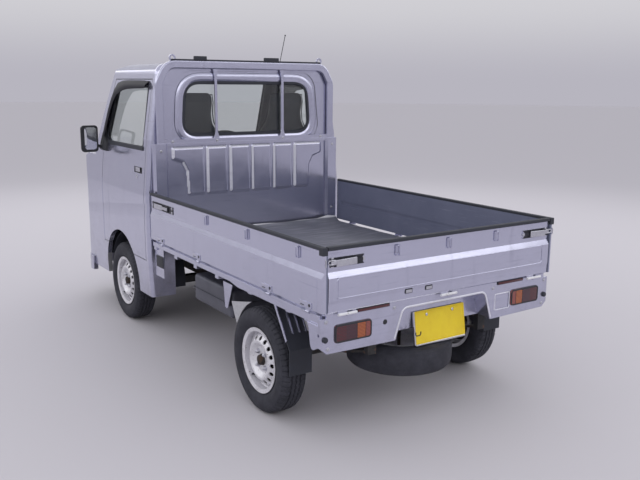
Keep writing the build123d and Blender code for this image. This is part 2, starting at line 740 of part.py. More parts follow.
# Engine, gearbox and their cross mount, with the shaft back to the axle housing
axle_gear_x = -145
axle_gear_radius = 84
pinion_y = rear_axle_y - 128
engine_rear_y = front_axle_y + 275.5
gearbox_rear_y = bed_front_y + 212
with BuildPart() as drivetrain:
    block((-250, 250), (engine_rear_y - 420, engine_rear_y), (300, 600))
    block((-130, 130), (engine_rear_y, gearbox_rear_y), (300, 450))
    block((rail_half - rail_x, rail_x - rail_half), (front_axle_y + 55.5, front_axle_y + 95.5), (440, 470))
    rod((-40, gearbox_rear_y - 10, 370), (axle_gear_x, pinion_y - 7, axle_z), 28)
    rod((axle_gear_x, pinion_y - 13, axle_z), (axle_gear_x, pinion_y - seat_gap, axle_z), 42)
save(drivetrain, "drivetrain")

# Front suspension: cross beam, lower arms, ball studs and struts
beam_z = axle_z - 46
stud_z = axle_z - 83
knuckle_foot_z = axle_z - 61
knuckle_head_z = axle_z + 79
with BuildPart() as front_suspension:
    block((-rail_x - 10, rail_x + 10), (front_axle_y - 35, front_axle_y + 35), (beam_z - 25, beam_z + 25))
    for side in (1, -1):
        rod((side * (rail_x - 80), front_axle_y, beam_z), (side * (kingpin_x + 10), front_axle_y, stud_z), 14)
        rod((side * kingpin_x, front_axle_y, stud_z), (side * kingpin_x, front_axle_y, knuckle_foot_z - seat_gap), 8)
        rod((side * (kingpin_x - 13), front_axle_y, knuckle_head_z + 5.3),
            (side * (kingpin_x - 20), front_axle_y, house_z + house_radius - 1.2), 20)
        rod((side * (rail_x - 10), front_axle_y, beam_z - 20), (side * (rail_x - 10), front_axle_y, 430 - seat_gap), 18)
save(front_suspension, "front_suspension")

# Steering knuckle with the wheel spindle
with BuildPart() as knuckle_left:
    block((kingpin_x - 14, kingpin_x + 14), (front_axle_y - 30, front_axle_y + 30), (knuckle_foot_z, knuckle_head_z))
    rod((kingpin_x, front_axle_y, axle_z), (front_wheel_x + spindle_length, front_axle_y, axle_z), spindle_radius)
    rod((kingpin_x + 14, front_axle_y, axle_z), (kingpin_x + 36, front_axle_y, axle_z), 60)
save(knuckle_left, "knuckle_left")
save(mirrored(knuckle_left), "knuckle_right")

# Rear axle: tube, gear housing with its pinion nose, brake drums and spindles, housing as (across, radius)
axle_tube_radius = 30
drum_radius = 100
tube_end_x = rear_wheel_x - 90
housing = [(-90, 0), (-90, 36), (-62, 60), (-26, axle_gear_radius), (26, axle_gear_radius), (62, 60), (90, 36), (90, 0)]
with BuildPart() as rear_axle:
    rod((-tube_end_x, rear_axle_y, axle_z), (tube_end_x, rear_axle_y, axle_z), axle_tube_radius)
    with BuildSketch(Plane.XY.offset(axle_z)):
        with BuildLine():
            Polyline(*((axle_gear_x + x, rear_axle_y + r) for x, r in housing), close=True)
        make_face()
    revolve(axis=Axis((axle_gear_x, rear_axle_y, axle_z), (1, 0, 0)))
    rod((axle_gear_x, rear_axle_y, axle_z), (axle_gear_x, pinion_y, axle_z), 38)
    for side in (1, -1):
        rod((side * tube_end_x, rear_axle_y, axle_z), (side * (rear_wheel_x + spindle_length), rear_axle_y, axle_z),
            spindle_radius)
        rod((side * (tube_end_x + 25), rear_axle_y, axle_z), (side * (rear_wheel_x - 25), rear_axle_y, axle_z),
            drum_radius)
save(rear_axle, "rear_axle")

# Leaf springs on the axle tube with their hangers to the rails
spring_reach = 460
spring_width = 50
spring_eye_z = 395
spring_seat_z = axle_z + axle_tube_radius + seat_gap
spring_sag = spring_eye_z - 5 - spring_seat_z
leaf_stack = 21
front_eye_y = rear_axle_y - spring_reach
rear_eye_y = rear_axle_y + spring_reach
# Leaf as shares of its reach and of its sag
spring_curve = [(-1, 1), (-0.65, 0.42), (-0.3, 0.09), (-0.1, 0), (0.1, 0), (0.3, 0.09), (0.65, 0.42), (1, 1)]
with BuildPart() as leaf_springs:
    for side in (1, -1):
        low = side * rail_x - spring_width / 2
        under = [(rear_axle_y + along * spring_reach, spring_seat_z + sag * spring_sag) for along, sag in spring_curve]
        over = [(y, z + leaf_stack - sag * (leaf_stack - 10)) for (y, z), (along, sag) in zip(under, spring_curve)]
        prism_across(under + over[::-1], (low, low + spring_width))
        block((low, low + spring_width), (front_eye_y - 20, front_eye_y + 10), (spring_eye_z - 15, 430))
        block((low, low + spring_width), (rear_eye_y - 10, rear_eye_y + 20), (spring_eye_z - 15, 500))
save(leaf_springs, "leaf_springs")

# Fuel tank: two pressed halves joined at a flange
tank_y = bed_front_y + 758
tank_x = (rail_x + rail_half + seat_gap, half_width - 57.5)
flange_width = 6
with BuildPart() as fuel_tank:
    block((tank_x[0] + flange_width, tank_x[1] - flange_width), (tank_y - 241, tank_y + 241), (385, 545))
    fillet(fuel_tank.edges(), radius=22)
    block(tank_x, (tank_y - 247, tank_y + 247), (462, 466))
save(fuel_tank, "fuel_tank")

# Exhaust: bent pipe from the engine, silencer, tail pipe and hanger to the rail
pipe_radius = 19
pipe_z = 400
silencer_x = -rail_x - 140
silencer_y = (bed_front_y + 512, bed_front_y + 962)
with BuildPart() as exhaust:
    with BuildLine() as pipe_path:
        FilletPolyline((-200, engine_rear_y + seat_gap, 380), (-200, engine_rear_y + 90, 380),
                       (silencer_x, bed_front_y + 250, pipe_z), (silencer_x, silencer_y[0] + 8, pipe_z), radius=60)
    with BuildSketch(Plane(origin=pipe_path.line @ 0, z_dir=pipe_path.line % 0)):
        Circle(pipe_radius)
    sweep(path=pipe_path.line)
    rod((silencer_x, silencer_y[0], pipe_z), (silencer_x, silencer_y[1], pipe_z), 75)
    rod((silencer_x, silencer_y[1] - 2, pipe_z), (silencer_x, rear_axle_y + 330, pipe_z), pipe_radius)
    block((silencer_x, -rail_x - rail_half - seat_gap), (bed_front_y + 729, bed_front_y + 745), (pipe_z + 40, pipe_z + 52))
save(exhaust, "exhaust")

# Places along the side gate as shares of its length, and along the deck
gate_run = gate_rear_y - gate_front_y
side_hinge_ys = [gate_front_y + share * gate_run for share in (0.083, 0.35, 0.755, 0.932)]
side_hook_ys = [gate_front_y + share * gate_run for share in (0.407, 0.645, 0.89)]
tail_hinge_xs = [tailgate_half - 101, 0, 101 - tailgate_half]
tail_hook_xs = [-316, 0, 316]
bearer_ys = [
    bed_front_y + 32, bed_front_y + 352, bed_front_y + 627, bed_front_y + 902, rear_axle_y - 75, spare_y - 15,
    rear_panel_y - 108,
]

# Load deck: floor sheet on cross bearers with posts to the rails, side sills and hinge barrels
bearer_half = half_width - 22.5
sill_x = (half_width - 47.5, half_width - 21.5)
sill_under_z = deck_under_z - 41
closing_x = (half_width - 37.5, half_width - 31.5)
closing_y = (bed_front_y + 5, bed_front_y + 142)
# Sill under the deck edge, deeper over and behind the rear wheel, as (along, height)
sill_line = [
    (bed_front_y, deck_under_z), (bed_front_y, deck_under_z - 27), (rear_axle_y - 290, deck_under_z - 27),
    (rear_axle_y - 200, sill_under_z), (frame_rear_y, sill_under_z), (frame_rear_y, deck_under_z),
]
with BuildPart() as load_deck:
    block((-deck_half, deck_half), (bed_front_y, deck_rear_y), (deck_under_z, bed_floor_z))
    for y in bearer_ys:
        y_range = (y - bearer_width / 2, y + bearer_width / 2)
        block((-bearer_half, bearer_half), y_range, (bearer_under_z, deck_under_z))
        post_foot_z = 505 if y < rear_axle_y - 384 else 575
        for side in (1, -1):
            block((side * rail_x - 25, side * rail_x + 25), y_range, (post_foot_z, bearer_under_z))
    for side in (1, -1):
        prism_across(sill_line, (side * sill_x[0], side * sill_x[1]))
        closing_range = (side * closing_x[0], side * closing_x[1])
        block(closing_range, closing_y, (430, deck_under_z - 27))
        block(closing_range, (closing_y[0] + 40, closing_y[0] + 100), (500, 560), Mode.SUBTRACT)
        for y in side_hinge_ys:
            start = y - side_hinge_length / 2
            rod((side * hinge_x, start, hinge_z), (side * hinge_x, y, hinge_z), hinge_radius)
            rod((side * hinge_x, y - 5, hinge_z), (side * hinge_x, y + side_hinge_length / 2 - 1, hinge_z),
                hinge_pin_radius)
            block((side * sill_x[1], side * (hinge_x - 2)), (start, y), (hinge_z - 8, hinge_z - 2))
save(load_deck, "load_deck")

# Rubber mat on the deck
with BuildPart() as bed_mat:
    block((22 - deck_half, deck_half - 22), (bed_front_y + 30, deck_rear_y - 20),
          (bed_floor_z, bed_floor_z + mat_thickness))
save(bed_mat, "bed_mat")


def gate_section(outer, foot_recess=0):
    """Gate wall with its proud lower panel, ridge and recessed band, and a set-back foot strip if it has one."""
    foot = [(outer - gate_thickness, gate_foot_z), (outer - foot_recess, gate_foot_z)]
    if foot_recess:
        foot += [(outer - foot_recess, hinge_z + 51), (outer, hinge_z + 67)]
    return foot + [
        (outer, hinge_z + ridge_low), (outer - band_depth, hinge_z + ridge_high), (outer - band_depth, gate_top_z - 5),
        (outer - band_depth - 4, gate_top_z), (outer - gate_thickness, gate_top_z),
    ]


def staple(legs, rise, standoff):
    """Rope hook: two upright legs joined at the top, their feet turned into the gate by the stand-off."""
    feet = [Vector(*leg) for leg in legs]
    heads = [foot + Vector(0, 0, rise) for foot in feet]
    for foot, head in zip(feet, heads):
        rod(foot, head, hook_wire)
        rod(foot, foot + Vector(*standoff), hook_wire)
    rod(heads[0], heads[1], hook_wire)


# Rope hooks and latches lie inside the recessed band
hook_wire = 3.2
hook_half = 9
hook_foot_z = gate_top_z - 64
hook_rise = 46
latch_z = gate_top_z - 56
corner_block = (30, 21)
bead_z = (hinge_z + 120, hinge_z + 150)
with BuildPart() as gate_left:
    prism_along(gate_section(gate_outer_x), (gate_front_y, gate_rear_y))
    corner_edges = gate_left.edges().filter_by(Axis.Z).group_by(Axis.Y)[-1].sort_by(Axis.X)
    fillet(corner_edges[-1], radius=18)
    block((gate_inner_x, gate_outer_x), (gate_rear_y - corner_block[0], gate_rear_y),
          (gate_top_z - corner_block[1], gate_top_z), Mode.SUBTRACT)
    block((gate_inner_x, gate_inner_x + 5), (gate_front_y + 60, gate_rear_y - 90), bead_z, Mode.SUBTRACT)
    rod((gate_outer_x + 1, gate_rear_y - 46, gate_foot_z), (gate_outer_x + 1, gate_rear_y - 46, hinge_z + ridge_low), 4,
        Mode.SUBTRACT)
    for y in side_hinge_ys:
        rod((hinge_x, y + knuckle_gap, hinge_z), (hinge_x, y + side_hinge_length / 2, hinge_z), hinge_radius)
        block((hinge_x - 5, hinge_x - 1), (y + knuckle_gap, y + side_hinge_length / 2), (hinge_z, gate_foot_z))
        rod((hinge_x, y, hinge_z), (hinge_x, y + side_hinge_length / 2 + 1, hinge_z), hinge_bore_radius,
            Mode.SUBTRACT)
    hook_x = gate_outer_x - hook_wire
    for y in side_hook_ys:
        staple([(hook_x, y - hook_half, hook_foot_z), (hook_x, y + hook_half, hook_foot_z)], hook_rise,
               (hook_wire - band_depth - 2, 0, 0))
    band_x = gate_outer_x - band_depth
    block((band_x - 1, band_x + 3), (gate_front_y + 23, gate_front_y + 341), (latch_z - 22, latch_z + 22))
    block((band_x, band_x + 8), (gate_front_y + 40, gate_front_y + 230), (latch_z - 8, latch_z + 8))
    block((band_x, band_x + 10), (gate_front_y + 236, gate_front_y + 276), (latch_z - 17, latch_z + 17))
save(gate_left, "gate_left")
save(mirrored(gate_left), "gate_right")

# Tailgate, its latch pieces as (nearest to the middle, furthest from it, depth, half height)
tail_latch = [(505, 688, 3, 21), (515, 640, 8, 8), (648, 684, 10, 16)]
with BuildPart() as tailgate:
    prism_across(gate_section(tailgate_outer_y, 3), (-tailgate_half, tailgate_half))
    block((60 - tailgate_half, tailgate_half - 60), (tailgate_inner_y, tailgate_inner_y + 5), bead_z, Mode.SUBTRACT)
    for side in (1, -1):
        crease_x = side * (tailgate_half - 48)
        rod((crease_x, tailgate_outer_y + 1, gate_foot_z), (crease_x, tailgate_outer_y + 1, hinge_z + ridge_low), 4,
            Mode.SUBTRACT)
    for x in tail_hinge_xs:
        rod((x + knuckle_gap, hinge_y, hinge_z), (x + tail_hinge_length / 2, hinge_y, hinge_z), hinge_radius)
        block((x + knuckle_gap, x + tail_hinge_length / 2), (hinge_y - 7, hinge_y - 3), (hinge_z, gate_foot_z))
        rod((x, hinge_y, hinge_z), (x + tail_hinge_length / 2 + 1, hinge_y, hinge_z), hinge_bore_radius,
            Mode.SUBTRACT)
    hook_y = tailgate_outer_y - hook_wire
    for x in tail_hook_xs:
        staple([(x - hook_half, hook_y, hook_foot_z), (x + hook_half, hook_y, hook_foot_z)], hook_rise,
               (0, hook_wire - band_depth - 2, 0))
    band_y = tailgate_outer_y - band_depth
    for side in (1, -1):
        for near, far, depth, reach in tail_latch:
            block((side * near, side * far), (band_y - 1, band_y + depth), (latch_z - reach, latch_z + reach))
save(tailgate, "tailgate")

# Rubber caps along the top edges of the gates, with end blocks on the side gates
with BuildPart() as gate_cap_left:
    block((gate_inner_x, gate_outer_x), (gate_front_y, gate_rear_y), (gate_top_z, cap_top_z))
    block((gate_inner_x, gate_outer_x), (gate_rear_y - corner_block[0], gate_rear_y),
          (gate_top_z - corner_block[1], gate_top_z))
    fillet(gate_cap_left.edges().filter_by(Axis.Y).group_by(Axis.Z)[-1], radius=5)
save(gate_cap_left, "gate_cap_left")
save(mirrored(gate_cap_left), "gate_cap_right")
with BuildPart() as tailgate_cap:
    block((-tailgate_half, tailgate_half), (tailgate_inner_y, tailgate_outer_y), (gate_top_z, cap_top_z))
    fillet(tailgate_cap.edges().filter_by(Axis.X).group_by(Axis.Z)[-1], radius=5)
save(tailgate_cap, "tailgate_cap")

# Headboard: ribbed panel between two columns, with the guard frame over it
board_front_y = bed_front_y - 21
panel_back_y = board_front_y + 8
board_top_z = 1262
board_foot_z = bed_floor_z - 15
column_inner_x = half_width - 137.5
# Ribs as (inner edge, outer edge), and the flared outermost rib as (from the middle, height)
rib_edges = [(26, 140), (194, 308)]
rib_z = (940, 1218)
flared_rib = [(360, 940), (360, 1218), (548, 1218), (548, 1172), (486, 1150), (452, 1085), (444, 940)]
rib_height = 11
rib_taper = 25
post_x = half_width - 97.5
post_width = 50
frame_depth = 22
frame_y = board_front_y + frame_depth / 2
frame_top = guard_frame_z - post_width / 2
strut_x = 250
loop_x = post_x - 95
with BuildPart() as headboard:
    block((-column_inner_x, column_inner_x), (board_front_y, panel_back_y), (board_foot_z, board_top_z))
    block((5 - column_inner_x, column_inner_x - 5), (panel_back_y, bed_front_y), (board_foot_z, bed_floor_z))
    block((-column_inner_x, column_inner_x), (panel_back_y, bed_front_y), (board_top_z - 22, board_top_z))
    with BuildSketch(Plane(origin=(0, panel_back_y, 0), x_dir=(-1, 0, 0), z_dir=(0, 1, 0))):
        for side in (1, -1):
            for inner, outer in rib_edges:
                with Locations((side * (inner + outer) / 2, sum(rib_z) / 2)):
                    Rectangle(outer - inner, rib_z[1] - rib_z[0])
            with BuildLine():
                Polyline(*((side * x, z) for x, z in flared_rib), close=True)
            make_face()
    extrude(amount=rib_height, taper=rib_taper)
    for side in (1, -1):
        near, far = side * column_inner_x, side * deck_half
        with BuildSketch(Plane.XY.offset(bed_floor_z)):
            with BuildLine():
                Polyline((near, board_front_y), (near, bed_front_y - 2), (near + side * 14, bed_front_y + 14),
                         (far - side * 14, bed_front_y + 14), (far, bed_front_y - 4), (far, board_front_y), close=True)
            make_face()
        extrude(amount=board_top_z - bed_floor_z)
    with BuildLine() as frame_path:
        FilletPolyline((post_x, frame_y, board_top_z - 7), (post_x, frame_y, 1640), (post_x - 60, frame_y, frame_top),
                       (60 - post_x, frame_y, frame_top), (-post_x, frame_y, 1640),
                       (-post_x, frame_y, board_top_z - 7), radius=90)
    with BuildSketch(Plane(origin=frame_path.line @ 0, x_dir=(1, 0, 0), z_dir=(0, 0, 1))):
        RectangleRounded(post_width, frame_depth, 8)
    sweep(path=frame_path.line)
    block((-post_x, post_x), (board_front_y, board_front_y + 16), (guard_bar_z - 29, guard_bar_z))
    strut_line = [(-22, guard_bar_z - 4), (22, guard_bar_z - 4), (9, guard_bar_z + 40), (9, frame_top - 60),
                  (20, frame_top - 20), (-20, frame_top - 20), (-9, frame_top - 60), (-9, guard_bar_z + 40)]
    for side in (1, -1):
        prism_along([(side * strut_x + x, z) for x, z in strut_line], (board_front_y + 3, board_front_y + 13))
        with BuildSketch(Plane.XZ.offset(-frame_y - 4)):
            with Locations((side * loop_x, guard_frame_z + 14)):
                Circle(22)
                Circle(12, mode=Mode.SUBTRACT)
        extrude(amount=8)
save(headboard, "headboard")

# Rear panel under the tailgate: lamp openings, number-plate pocket and wrapped corners
rear_face_y = rear_panel_y + 24
rear_panel_half = half_width - 11.5
tail_lamp_size = (201, 83)
tail_lamp_x = half_width - 184.5
tail_lamp_z = 562
pocket_depth = 88
pocket_wall = 6
pocket_foot_half = 310
pocket_head_half = 262
pocket_head_z = 619
plug = (371, 572)
panel_line = [
    (-rear_panel_half, 640), (-rear_panel_half, 505), (30 - rear_panel_half, 478), (-330, 472), (330, 472),
    (rear_panel_half - 30, 478), (rear_panel_half, 505), (rear_panel_half, 640),
]
# Corner return along the truck side, cut round by the wheel, as (along, height)
return_line = [
    (rear_panel_y + 1, 505), (rear_panel_y + 1, sill_under_z - seat_gap), (rear_panel_y - 90, sill_under_z - seat_gap),
    (rear_panel_y - 75, 582), (rear_panel_y - 62, 508), (rear_panel_y - 53, 490), (rear_panel_y - 38, 485),
]


def pocket_line(margin, foot_z):
    """Number-plate pocket outline, narrower at the top, open below."""
    return [
        (-pocket_foot_half - margin, foot_z), (-pocket_head_half - margin, pocket_head_z + margin),
        (pocket_head_half + margin, pocket_head_z + margin), (pocket_foot_half + margin, foot_z),
    ]


with BuildPart() as rear_panel:
    prism_along(panel_line, (rear_panel_y, rear_face_y))
    prism_along(pocket_line(pocket_wall, 480), (rear_face_y - pocket_depth - pocket_wall, rear_panel_y))
    block((-deck_half, deck_half), (rear_face_y - 12, rear_face_y), (640, hinge_z + 7))
    prism_along(pocket_line(0, 465), (rear_face_y - pocket_depth, rear_face_y), Mode.SUBTRACT)
    with BuildSketch(Plane.XZ.offset(-rear_panel_y)):
        for side in (1, -1):
            with Locations((side * tail_lamp_x, tail_lamp_z)):
                RectangleRounded(*tail_lamp_size, 12)
    extrude(amount=-24, mode=Mode.SUBTRACT)
    rod((plug[0], rear_face_y - 4, plug[1]), (plug[0], rear_face_y, plug[1]), 12, Mode.SUBTRACT)
    block((-441, -340), (rear_face_y - 3, rear_face_y), (516, 595), Mode.SUBTRACT)
    for side in (1, -1):
        prism_across(return_line, (side * (rear_panel_half - 8), side * rear_panel_half))
        rod((side * (rear_panel_half - 10), rear_panel_y + 4, 563), (side * (rear_panel_half + 1), rear_panel_y + 4, 563),
            7, Mode.SUBTRACT)
    for x in tail_hinge_xs:
        start = x - tail_hinge_length / 2
        rod((start, hinge_y, hinge_z), (x, hinge_y, hinge_z), hinge_radius)
        rod((x - 5, hinge_y, hinge_z), (x + tail_hinge_length / 2 - 1, hinge_y, hinge_z), hinge_pin_radius)
        block((start, x), (rear_face_y - 1, hinge_y), (hinge_z - 13, hinge_z - 2))
save(rear_panel, "rear_panel")

# Tail lamps, long reflectors beside the hinges and the lamp over the number plate
with BuildPart() as tail_lamps:
    with BuildSketch(Plane.XZ.offset(-rear_panel_y - 2)):
        for side in (1, -1):
            with Locations((side * tail_lamp_x, tail_lamp_z)):
                RectangleRounded(tail_lamp_size[0] - 2 * seat_gap, tail_lamp_size[1] - 2 * seat_gap, 12 - seat_gap)
    extrude(amount=-30)
    for side in (1, -1):
        block((side * 349, side * 535), (rear_face_y, rear_face_y + 8), (645, 661))
    block((-52, 52), (rear_face_y - 70, rear_face_y - 40), (pocket_head_z - 19, pocket_head_z))
save(tail_lamps, "tail_lamps")

# Number plate in the pocket on its bracket, its foot standing out to the rear
plate_size = (330, 165)
plate_centre = (-34, rear_face_y - 72, 477)
plate_tilt = 8
with BuildPart() as number_plate:
    with BuildSketch(Plane(origin=plate_centre, x_dir=(-1, 0, 0), z_dir=(0, 1, 0)).rotated((plate_tilt, 0, 0))):
        RectangleRounded(*plate_size, 8)
    extrude(amount=2)
    block((plate_centre[0] - 60, plate_centre[0] + 60), (rear_face_y - pocket_depth, plate_centre[1] - 6), (500, 530))
save(number_plate, "number_plate")

# Mudguards of the rear wheels: sloping board with ribs, hanging flap and flat stay on each side
guard_x = (rear_wheel_x - tyre_width / 2, half_width - 36)
# Board from its head under the sill down to the flap, as (behind the axle, height)
board_line = [(149, sill_under_z - 12), (145, sill_under_z - seat_gap), (153, sill_under_z - seat_gap), (292, 403),
              (292, 277), (286, 277), (286, 401)]
stay_line = [(151, sill_under_z - seat_gap), (167, sill_under_z - seat_gap), (271, 451), (262, 440)]
rib_line = [(156, 600), (245, 470), (253, 473), (165, 603)]
rib_insets = [40, 78, 116]
with BuildPart() as rear_mudguards:
    for side in (1, -1):
        prism_across([(rear_axle_y + behind, z) for behind, z in board_line], (side * guard_x[0], side * guard_x[1]))
        for inward in rib_insets:
            near = side * (guard_x[1] - inward)
            prism_across([(rear_axle_y + behind, z) for behind, z in rib_line], (near, near - side * 8))
        prism_across([(rear_axle_y + behind, z) for behind, z in stay_line],
                     (side * guard_x[1], side * (guard_x[1] + 6)))
save(rear_mudguards, "rear_mudguards")
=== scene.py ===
import math

import bmesh
import bpy
from mathutils import Matrix, Vector, noise


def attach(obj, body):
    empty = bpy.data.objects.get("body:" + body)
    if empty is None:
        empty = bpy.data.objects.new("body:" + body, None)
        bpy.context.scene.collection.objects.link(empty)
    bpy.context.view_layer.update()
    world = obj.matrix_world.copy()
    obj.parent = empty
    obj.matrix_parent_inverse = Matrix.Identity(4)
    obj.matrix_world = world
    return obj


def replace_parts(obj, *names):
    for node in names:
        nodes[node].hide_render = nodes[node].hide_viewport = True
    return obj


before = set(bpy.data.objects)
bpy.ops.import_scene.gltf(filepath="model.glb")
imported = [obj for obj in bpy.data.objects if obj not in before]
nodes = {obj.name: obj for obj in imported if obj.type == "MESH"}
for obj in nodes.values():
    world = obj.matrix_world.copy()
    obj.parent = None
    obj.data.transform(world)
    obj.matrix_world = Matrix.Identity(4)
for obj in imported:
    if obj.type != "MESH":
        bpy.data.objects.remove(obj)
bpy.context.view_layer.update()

# Body pressings: cab panels, doors, gates, headboard and rear panel. Deep-drawn 0.7 mm sheet steel,
# spot-welded, sprayed with silver metallic enamel under clear lacquer. Moulded trim lines the cab inside.


def srgb(code):
    """Linear colour of an sRGB hex value."""
    parts = [int(code[i:i + 2], 16) / 255 for i in (1, 3, 5)]
    return [c / 12.92 if c <= 0.04045 else ((c + 0.055) / 1.055) ** 2.4 for c in parts] + [1]


def plug(tree, node, inputs):
    """Sets inputs of a shader node to values and hex colours, or joins them to other nodes."""
    for name, value in inputs.items():
        if isinstance(value, bpy.types.Node):
            value = next(output for output in value.outputs if output.enabled)
        if isinstance(value, bpy.types.NodeSocket):
            tree.links.new(value, node.inputs[name])
        else:
            node.inputs[name].default_value = srgb(value) if isinstance(value, str) else value


def add(tree, kind, inputs=None, **settings):
    """Adds one shader node with its settings and links."""
    node = tree.nodes.new("ShaderNode" + kind)
    for name, value in settings.items():
        setattr(node, name, value)
    plug(tree, node, inputs or {})
    return node


def clouded(tree, place, texture, under, over, span=None, most=1):
    """Noise of a scale, detail and roughness, and the tone it lays over another where it lies in the span."""
    clouds = add(tree, "TexNoise", {"Vector": place, **dict(zip(("Scale", "Detail", "Roughness"), texture))})
    mask = clouds
    if span:
        limits = {"From Min": span[0], "From Max": span[1], "To Max": most}
        mask = add(tree, "MapRange", {"Value": clouds, **limits})
    return clouds, add(tree, "Mix", {0: mask, 6: under, 7: over}, data_type="RGBA")


def surface(tree, shader, colour, roughness, relief, inputs=None):
    """Gives a surface its colour and roughness and presses a (pattern, strength, depth) into it."""
    bump = add(tree, "Bump", dict(zip(("Height", "Strength", "Distance"), relief)))
    plug(tree, shader, {"Base Color": colour, "Roughness": roughness, "Normal": bump, **(inputs or {})})


def new_material(name):
    """Empty material with its tree, its surface shader and its place on the object."""
    material = bpy.data.materials.new(name)
    material.use_nodes = True
    tree = material.node_tree
    spot = add(tree, "TexCoord").outputs["Object"]
    return material, tree, tree.nodes["Principled BSDF"], spot


def refinish(names, finishes, choose=None):
    """Gives CAD pieces their finishes; choose picks the finish of a face from its middle and normal."""
    for name in names:
        mesh = nodes[name].data
        mesh.materials.clear()
        for coat in finishes:
            mesh.materials.append(coat)
        for face in mesh.polygons:
            face.material_index = choose(face.center, face.normal) if choose else 0


# Silver metallic enamel: aluminium flake in a faintly lilac base under gloss lacquer, streaked with fine
# wear, filmed with road dust low down; the rolled edges catch the light. The flake is drawn coarse to show.
enamel, tree, shader, spot = new_material("silver_metallic_enamel_lacquered")
tint = clouded(tree, spot, (420, 1), "#b0b1c7", "#cccde1")[1]
faded = clouded(tree, spot, (1.7, 3), tint, "#bdbdd2")[1]
streak_place = add(tree, "Mapping", {"Vector": spot, "Scale": (5, 5, 160)})
scuffed = clouded(tree, streak_place, (1, 4), faded, "#a3a3b8", (0.62, 0.8))[1]
run_place = add(tree, "Mapping", {"Vector": spot, "Scale": (22, 22, 3)})
stained = clouded(tree, run_place, (1, 4), scuffed, "#8f8fa3", (0.6, 0.85), 0.4)[1]
grime = add(tree, "TexNoise", {"Vector": spot, "Scale": 11, "Detail": 8, "Roughness": 0.65})
height = add(tree, "SeparateXYZ", {0: spot})
up = height.outputs["Z"]
low = add(tree, "MapRange", {"Value": up, "From Min": 0.85, "From Max": 0.35, "To Max": 0.45})
specks = add(tree, "MapRange", {"Value": grime, "From Min": 0.44, "From Max": 0.78})
dust = add(tree, "Math", {0: low, 1: specks}, operation="MULTIPLY")
dusted = add(tree, "Mix", {0: dust, 6: stained, 7: "#8d8a8c"}, data_type="RGBA")
gloss = add(tree, "MapRange", {"Value": grime, "From Min": 0.3, "From Max": 0.8,
                               "To Min": 0.17, "To Max": 0.27})
dulled = add(tree, "Math", {0: dust, 1: 0.6}, operation="MULTIPLY")
rough = add(tree, "Math", {0: gloss, 1: dulled}, operation="MAXIMUM")
rolled = add(tree, "Bevel", {"Radius": 0.0022}, samples=4)
peel = add(tree, "TexNoise", {"Vector": spot, "Scale": 140, "Detail": 1})
peel_bump = add(tree, "Bump", {"Height": peel, "Strength": 0.08, "Distance": 0.0004, "Normal": rolled})
wave = add(tree, "TexNoise", {"Vector": spot, "Scale": 5.5, "Detail": 2})
wave_bump = add(tree, "Bump", {"Height": wave, "Strength": 0.4, "Distance": 0.004, "Normal": peel_bump})
plug(tree, shader, {"Base Color": dusted, "Roughness": rough, "Normal": wave_bump,
                    "Metallic": 0.85, "Coat Weight": 0.6, "Coat Roughness": 0.06})

# Roof enamel: the same paint darkened to grey on the roof's top as painted shade, and dulled
roof_enamel_painted_shade = enamel.copy()
roof_enamel_painted_shade.name = "silver_metallic_enamel_painted_shade_top"
copied_tree = roof_enamel_painted_shade.node_tree
plug(copied_tree, copied_tree.nodes[tint.name], {6: "#858697", 7: "#9d9eaf"})
plug(copied_tree, copied_tree.nodes[faded.name], {7: "#8b8b9b"})
plug(copied_tree, copied_tree.nodes[gloss.name], {"To Min": 0.42, "To Max": 0.55})
plug(copied_tree, copied_tree.nodes["Principled BSDF"], {"Coat Weight": 0.1, "Metallic": 0.6})

# Highlight enamel: the same paint made pale and bright, laid on pressed flanks and beads as a painted
# highlight
enamel_painted_highlight = enamel.copy()
enamel_painted_highlight.name = "silver_metallic_enamel_painted_highlight"
copied_tree = enamel_painted_highlight.node_tree
plug(copied_tree, copied_tree.nodes[tint.name], {6: "#d6d7e4", 7: "#eeeef6"})
plug(copied_tree, copied_tree.nodes[faded.name], {7: "#e0e0ea"})
plug(copied_tree, copied_tree.nodes[gloss.name], {"To Min": 0.36, "To Max": 0.46})
plug(copied_tree, copied_tree.nodes["Principled BSDF"], {"Metallic": 0.35})

# Bed coat: thick dark grey-blue wear coat, matt, scraped paler where loads slide
bed_coat, tree, shader, spot = new_material("bed_wear_coat_sprayed")
ground = clouded(tree, spot, (4, 6, 0.6), "#656a80", "#82869c")[1]
scrape_place = add(tree, "Mapping", {"Vector": spot, "Scale": (60, 3, 60)})
scraped = clouded(tree, scrape_place, (2, 5), ground, "#9b9fb2", (0.62, 0.95))[1]
grit = add(tree, "TexNoise", {"Vector": spot, "Scale": 320, "Detail": 2})
surface(tree, shader, scraped, 0.5, (grit, 0.3, 0.0006), {"Metallic": 0.2})

# Bare zinc plate on hooks, latches and pins: dull silver with cloudy spangle and dark specks of tarnish
zinc, tree, shader, spot = new_material("zinc_plated_steel")
spangle = add(tree, "TexVoronoi", {"Vector": spot, "Scale": 260})
plated = add(tree, "Mix", {0: spangle, 6: "#cfcfd6", 7: "#b4b4be"}, data_type="RGBA")
tarnish, tarnished = clouded(tree, spot, (60, 5), plated, "#77727a", (0.6, 0.85), 0.6)
dull = add(tree, "MapRange", {"Value": tarnish, "To Min": 0.2, "To Max": 0.42})
plug(tree, shader, {"Base Color": tarnished, "Metallic": 0.85, "Roughness": dull})

# Blackened steel under the latches: oily, dark and dusty in patches; under the latch levers its darkness is
# also painted shade of the recess
blackened_steel_and_painted_shade, tree, shader, spot = new_material("steel_blackened_oiled_and_painted_shade")
oil, oiled = clouded(tree, spot, (70, 6), "#191a20", "#43434c")
surface(tree, shader, oiled, 0.45, (oil, 0.25, 0.0005), {"Metallic": 0.4})

# White enamel of the hinge barrels, chipped at the ends; the white is partly a painted highlight on the round
# barrels
barrel_enamel_painted_highlight, tree, shader, spot = new_material("barrel_white_painted_highlight")
chip, chips = clouded(tree, spot, (150, 3), "#e4e4e8", "#8e8a88", (0.63, 0.7))
surface(tree, shader, chips, 0.35, (chip, 0.3, 0.0004))

